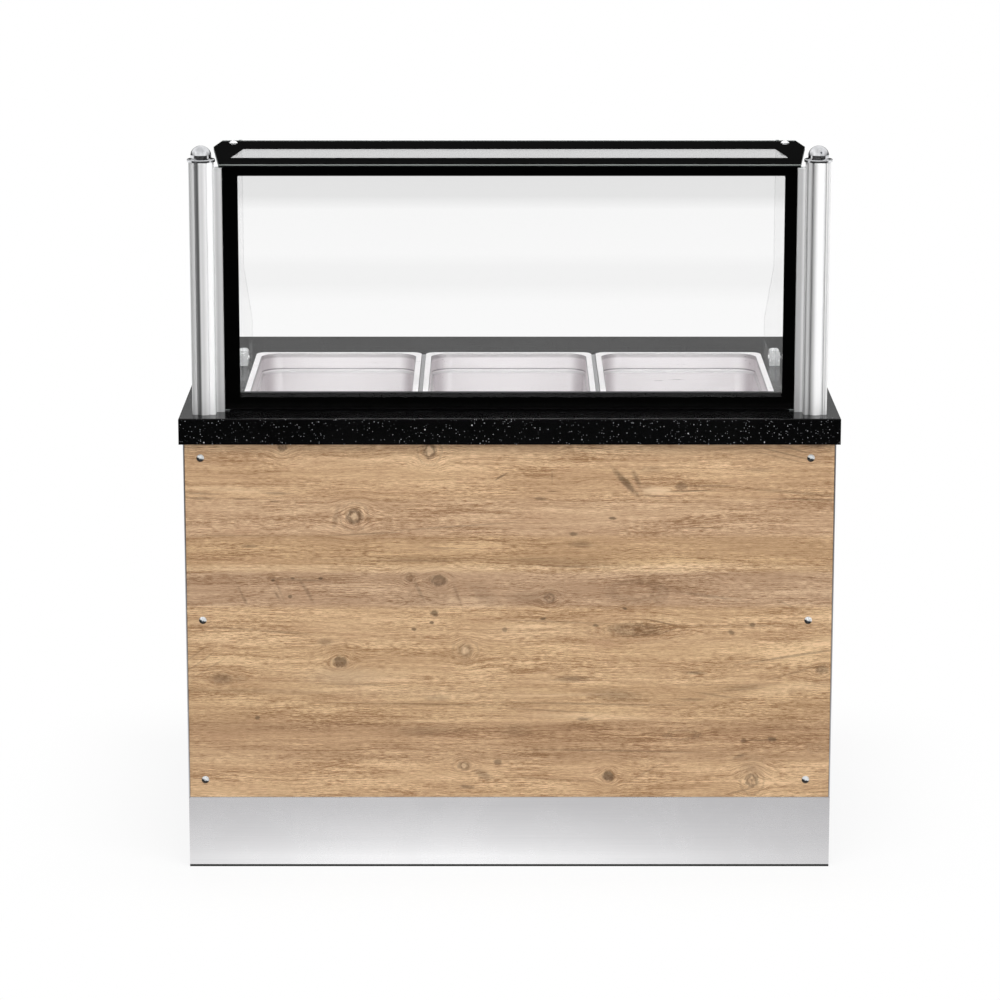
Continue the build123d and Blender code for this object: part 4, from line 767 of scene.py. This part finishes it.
def glassSheet(name, look):
    # clear float glass, matt and greener at its ground edges
    material, place = newMaterial(name), spot()
    ground = ease(absolute(facings()[look["axis"]]), 0.9, 0.5)
    wiped = handled(place, 5, (0, 0.012))["rough"]
    height = axes(place)[2]
    # painted reflection and shade: the clear faces tinted darker in bands by height
    shadeByHeight = rampOver(height, 0.85, 1.35, look["shadeByHeight"])
    rim = rampOver(height, 1.2967, 1.3027, look["edge"])
    tone = blendTone(ground, shadeByHeight, (0.62, 0.72, 0.7, 1))
    rough = calc("MAXIMUM", wiped, times(ground, 0.3))
    shader = out("BsdfPrincipled", {"Base Color": tone, "Roughness": rough, "IOR": look["ior"],
                                    "Transmission Weight": 1})
    sheet = mixShader(times(ground, look["frost"]), shader, out("BsdfDiffuse", {0: rim}))
    clear = out("BsdfTransparent", {0: (0.94, 0.95, 0.945, 1)})
    put("OutputMaterial", {"Surface": mixShader(put("LightPath").outputs["Is Shadow Ray"], sheet, clear)})
    return material


def moulded(name, look):
    material, place = newMaterial(name), spot()
    marks = handled(place, 30, look["rough"])
    tone = blendTone(marks["mask"], tint(*look["dark"]), tint(*look["light"]))
    tone = blendTone(worn(place, 0.0008, look.get("wear", 0.5)), tone, tint(*look["edge"]))
    surface(use(mouldGrain, place=place, size=look["grain"])["height"], look["relief"], 0.0002, colour=tone,
            rough=marks["rough"], specular=look.get("specular", 0.5))
    return material


plastics = {
    "blackPlastic": {"dark": (15, 15, 16), "light": (24, 24, 26), "edge": (62, 62, 64), "grain": 1600,
                     "rough": (0.32, 0.5), "relief": 0.2},
    "greyPlastic": {"dark": (168, 169, 166), "light": (184, 185, 181), "edge": (206, 206, 202), "grain": 1400,
                    "rough": (0.4, 0.55), "relief": 0.16},
    "blackRubber": {"dark": (13, 13, 13), "light": (26, 26, 25), "edge": (44, 44, 43), "grain": 700,
                    "rough": (0.62, 0.82), "relief": 0.3},
    "redVinyl": {"dark": (164, 24, 20), "light": (182, 34, 28), "edge": (214, 96, 84), "grain": 900,
                 "rough": (0.3, 0.46), "relief": 0.12},
    "blackPrint": {"dark": (2, 2, 2), "light": (4, 4, 4), "edge": (6, 6, 6), "grain": 2600,
                   "rough": (0.5, 0.58), "relief": 0.01, "wear": 0, "specular": 0.1},
    "whitePrint": {"dark": (226, 226, 222), "light": (240, 240, 236), "edge": (246, 246, 244), "grain": 2400,
                   "rough": (0.35, 0.5), "relief": 0.05, "wear": 0},
}


def amberLens():
    # ribbed translucent lens, lit low from inside
    material, place = newMaterial("amberLens"), spot()
    ribs = put("TexWave", {"Vector": place, "Scale": 260}, bands_direction="Z").outputs["Fac"]
    tone = blendTone(ribs, tint(214, 108, 22), tint(248, 156, 52))
    surface(ribs, 0.4, 0.0004, colour=tone, rough=0.16, clear=0.25, glow=tone, glowLevel=0.25)
    return material


moulds = {name: moulded(name, look) for name, look in plastics.items()}
glasses = {name: glassSheet(name, look) for name, look in panes.items()}
print("glass, plastics and rubber made")

# Finishes onto the frame's nodes.

finishOf = {
    "plinthSteel": ["plinth_front"],
    "controlSteel": ["plinth_rear", "control_panel", "right_door_liner", "left_door_liner"],
    "panelSteel": ["side_panels", "front_inner_sheet", "plinth_sides"],
    "doorSteel": ["right_door", "left_door"],
    "panSteel": ["pan_left", "pan_centre", "pan_right"],
    "tankSteel": ["tank_walls", "tank_bottom", "tank_flange", "pan_support_bars", "bottom_shelf", "drain_strainer",
                  "drain_tailpipe", "waste_pipe"],
    "tubeSteel": ["corner_uprights", "levelling_feet"],
    "railSteel": ["base_rails", "top_rails"],
    "handleSteel": ["right_door_handle", "left_door_handle", "door_hinges"],
    "postAluminium": ["glass_posts"],
    "blackAluminium": ["front_glass_channel"],
    "zincScrew": ["post_studs", "thermostat_spindle"],
    "screwSteel": ["front_panel_screws"],
    "chromePlate": ["post_caps", "valve_ball"],
    "clampSteel": ["side_glass_clamps", "top_glass_fixings"],
    "galvanisedSheet": ["tank_casing", "element_clamps"],
    "heaterSheath": ["heating_elements"],
    "platedBrass": ["thermostat_probe", "valve_body"],
    "blackGranite": ["granite_worktop"],
    "woodLaminate": ["front_wood_panel"],
    "plyEdge": ["worktop_substrate"],
    "mineralWool": ["tank_insulation"],
    "frontGlass": ["front_glass"],
    "topGlass": ["top_glass"],
    "sideGlass": ["side_glasses"],
    "blackPlastic": ["thermostat_knob", "switch_housing", "switch_rocker", "cable_gland", "door_magnets"],
    "greyPlastic": ["thermostat_body", "terminal_block"],
    "blackRubber": ["plinth_seal"],
    "redVinyl": ["valve_lever"],
    "blackPrint": ["glass_prints"],
    "amberLens": ["pilot_lamp"],
}
finishes = {**metals, **boards, **moulds, **glasses, "amberLens": amberLens()}
for finish, names in finishOf.items():
    for name in names:
        for slot in cadNodes[name].material_slots:
            slot.material = finishes[finish]
bare = set(cadNodes) - {name for names in finishOf.values() for name in names}
print("finished nodes:", len(cadNodes) - len(bare), "bare:", sorted(bare))


# Small details.

def newPiece(name, mesh, finish, body):
    piece = bpy.data.objects.new(name, mesh)
    scene.collection.objects.link(piece)
    mesh.materials.append(finishes[finish])
    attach(piece, body)


def wrapLoops(shape, loops):
    # faces between each closed loop of points and the next
    for low, high in zip(loops, loops[1:]):
        for here in range(len(low)):
            after = (here + 1) % len(low)
            shape.faces.new((low[here], low[after], high[after], high[here]))


def stackRings(shape, rings, turn, sides=36):
    # rings of (radius at an angle, height), joined into one closed turned form
    angles = [2 * math.pi * step / sides for step in range(sides)]
    loops = []
    for radius, height in rings:
        reaches = [radius(angle) if callable(radius) else radius for angle in angles]
        loops.append([shape.verts.new(turn @ Vector((reach * math.cos(angle), reach * math.sin(angle), height)))
                      for reach, angle in zip(reaches, angles)])
    wrapLoops(shape, loops)
    shape.faces.new(list(reversed(loops[0])))
    shape.faces.new(loops[-1])


def finishMesh(name, shape, smooth=40):
    mesh = bpy.data.meshes.new(name)
    bmesh.ops.recalc_face_normals(shape, faces=shape.faces)
    for face in shape.faces:
        face.smooth = True
    for edge in shape.edges:
        edge.smooth = len(edge.link_faces) == 2 and edge.calc_face_angle(0) < math.radians(smooth)
    shape.to_mesh(mesh)
    shape.free()
    return mesh


# rings and floor: shares of the radius and of the height
# cross: reach, half angle of an arm and share between arms
panelScrew = {"radius": 0.0042, "height": 0.0022, "inset": 0.014, "cross": (0.0019, 0.3, 0.42),
              "rings": [(1, 0), (0.96, 0.45), (0.8, 0.8), (0.55, 1)], "floor": (0.8, 0.3)}


def crossAt(angle):
    # outline of a cross recess
    reach, arm, between = panelScrew["cross"]
    swing = (angle + math.pi / 4) % (math.pi / 2) - math.pi / 4
    return reach * (1.0 if abs(swing) < arm else between)


def panelScrews():
    # four pan-head screws that hold the control panel
    low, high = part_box("control_panel")
    shape = bmesh.new()
    inset, radius, height = panelScrew["inset"], panelScrew["radius"], panelScrew["height"]
    narrow, deep = panelScrew["floor"]
    rings = [(radius * wide, height * up) for wide, up in panelScrew["rings"]]
    rings += [(crossAt, height), (lambda angle: crossAt(angle) * narrow, height * deep)]
    for x in (low.x + inset, high.x - inset):
        for z in (low.z + inset, high.z - inset):
            stackRings(shape, rings, Matrix.Translation((x, high.y, z)) @ Matrix.Rotation(-math.pi / 2, 4, "X"))
    newPiece("panel_screws", finishMesh("panel_screws", shape), "zincScrew", "counter")


panelScrews()

# ticks: length and half width of the long ones, then of the rest
dial = {"inner": 0.0262, "ticks": ((0.0055, 0.00045), (0.0035, 0.00026)), "numbers": 0.0368, "text": 0.0058,
        "thick": 0.00012, "marks": ["0", "30", "40", "50", "60", "70", "80", "90"], "between": 5, "sweep": 270,
        "start": 90}


def dialTurn(share):
    # angle and way out at a share of the scale, which runs clockwise seen from behind the counter
    angle = math.radians(dial["start"] - dial["sweep"] * share)
    return angle, Vector((-math.cos(angle), 0, math.sin(angle)))


def dialScale():
    # a printed ring of ticks and plain numbers round the thermostat knob
    low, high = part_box("thermostat_knob")
    middle = Vector(((low.x + high.x) / 2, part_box("control_panel")[1].y, (low.z + high.z) / 2))
    shape = bmesh.new()
    steps = len(dial["marks"]) - 1
    count = steps * dial["between"]
    for step in range(count + 1):
        angle, along = dialTurn(step / count)
        reach, half = dial["ticks"][min(step % dial["between"], 1)]
        side = Vector((math.sin(angle), 0, math.cos(angle)))
        corners = [middle + along * (dial["inner"] + far) + side * shift
                   for far, shift in ((0, -half), (reach, -half), (reach, half), (0, half))]
        ends = [[shape.verts.new(corner + Vector((0, lift, 0))) for corner in corners]
                for lift in (0, dial["thick"])]
        shape.faces.new(ends[0])
        shape.faces.new(list(reversed(ends[1])))
        for here in range(4):
            after = (here + 1) % 4
            shape.faces.new((ends[0][here], ends[1][here], ends[1][after], ends[0][after]))
    newPiece("dial_ticks", finishMesh("dial_ticks", shape), "blackPrint", "counter")
    for index, mark in enumerate(dial["marks"]):
        words = bpy.data.curves.new("dial_number", "FONT")
        words.body = mark
        words.size = dial["text"]
        words.align_x, words.align_y = "CENTER", "CENTER"
        words.extrude = dial["thick"] / 2
        holder = bpy.data.objects.new("dial_text", words)
        scene.collection.objects.link(holder)
        bpy.context.view_layer.update()
        mesh = bpy.data.meshes.new_from_object(holder)
        bpy.data.objects.remove(holder)
        place = middle + dialTurn(index / steps)[1] * dial["numbers"]
        place.y += dial["thick"] / 2
        upright = Matrix.Rotation(math.pi, 4, "Z") @ Matrix.Rotation(math.pi / 2, 4, "X")
        mesh.transform(Matrix.Translation(place) @ upright)
        mesh.materials.clear()
        newPiece("dial_number_" + mark, mesh, "blackPrint", "counter")


dialScale()

marking = {"thick": 0.0001, "pointer": (0.0008, 0.0072, 0.0138), "bar": (0.0005, 0.0022, 0.0066), "core": 0.3,
           "ring": (0.0015, 0.0022), "ringDrop": 0.0052, "axleDepth": 0.003, "faceReach": 0.006, "tip": 20}


def flatBand(name, inner, outer, y, turn, body):
    # a thin pale mark facing the operator, between two outlines of (x, z): turn tips it with its key
    shape = bmesh.new()
    loops = [[shape.verts.new(turn @ Vector((x, y + lift, z))) for x, z in line]
             for line, lift in ((inner, 0), (outer, 0), (outer, marking["thick"]), (inner, marking["thick"]))]
    wrapLoops(shape, loops + loops[:1])
    newPiece(name, finishMesh(name, shape), "whitePrint", body)


def flatLine(name, x, z, spread, y, body):
    # an upright line from start to end above (x, z)
    half, start, end = spread
    middle = z + (start + end) / 2
    line = [(x - half, z + start), (x + half, z + start), (x + half, z + end), (x - half, z + end)]
    core = [(x + (px - x) * marking["core"], middle + (pz - middle) * marking["core"]) for px, pz in line]
    flatBand(name, core, line, y, Matrix.Identity(4), body)


def middleOf(low, high):
    return (low.x + high.x) / 2, (low.z + high.z) / 2


def switchMarks():
    # a pointer on the knob's grip, a bar and a ring on the two faces of the rocker
    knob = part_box("thermostat_knob")
    flatLine("knob_pointer", *middleOf(*knob), marking["pointer"], knob[1].y, "thermostat_knob")
    x, z = middleOf(*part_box("switch_housing"))
    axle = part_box("control_panel")[1].y - marking["axleDepth"]
    face = axle + marking["faceReach"]
    flatLine("rocker_on_mark", x, z, marking["bar"], face, "switch_rocker")
    tip = (Matrix.Translation((0, axle, z)) @ Matrix.Rotation(-math.radians(marking["tip"]), 4, "X")
           @ Matrix.Translation((0, -axle, -z)))
    angles = [step * math.pi / 12 for step in range(24)]
    rings = [[(x + reach * math.cos(angle), z - marking["ringDrop"] + reach * math.sin(angle)) for angle in angles]
             for reach in marking["ring"]]
    flatBand("rocker_off_mark", rings[0], rings[1], face, tip, "switch_rocker")


switchMarks()
print("small details made")
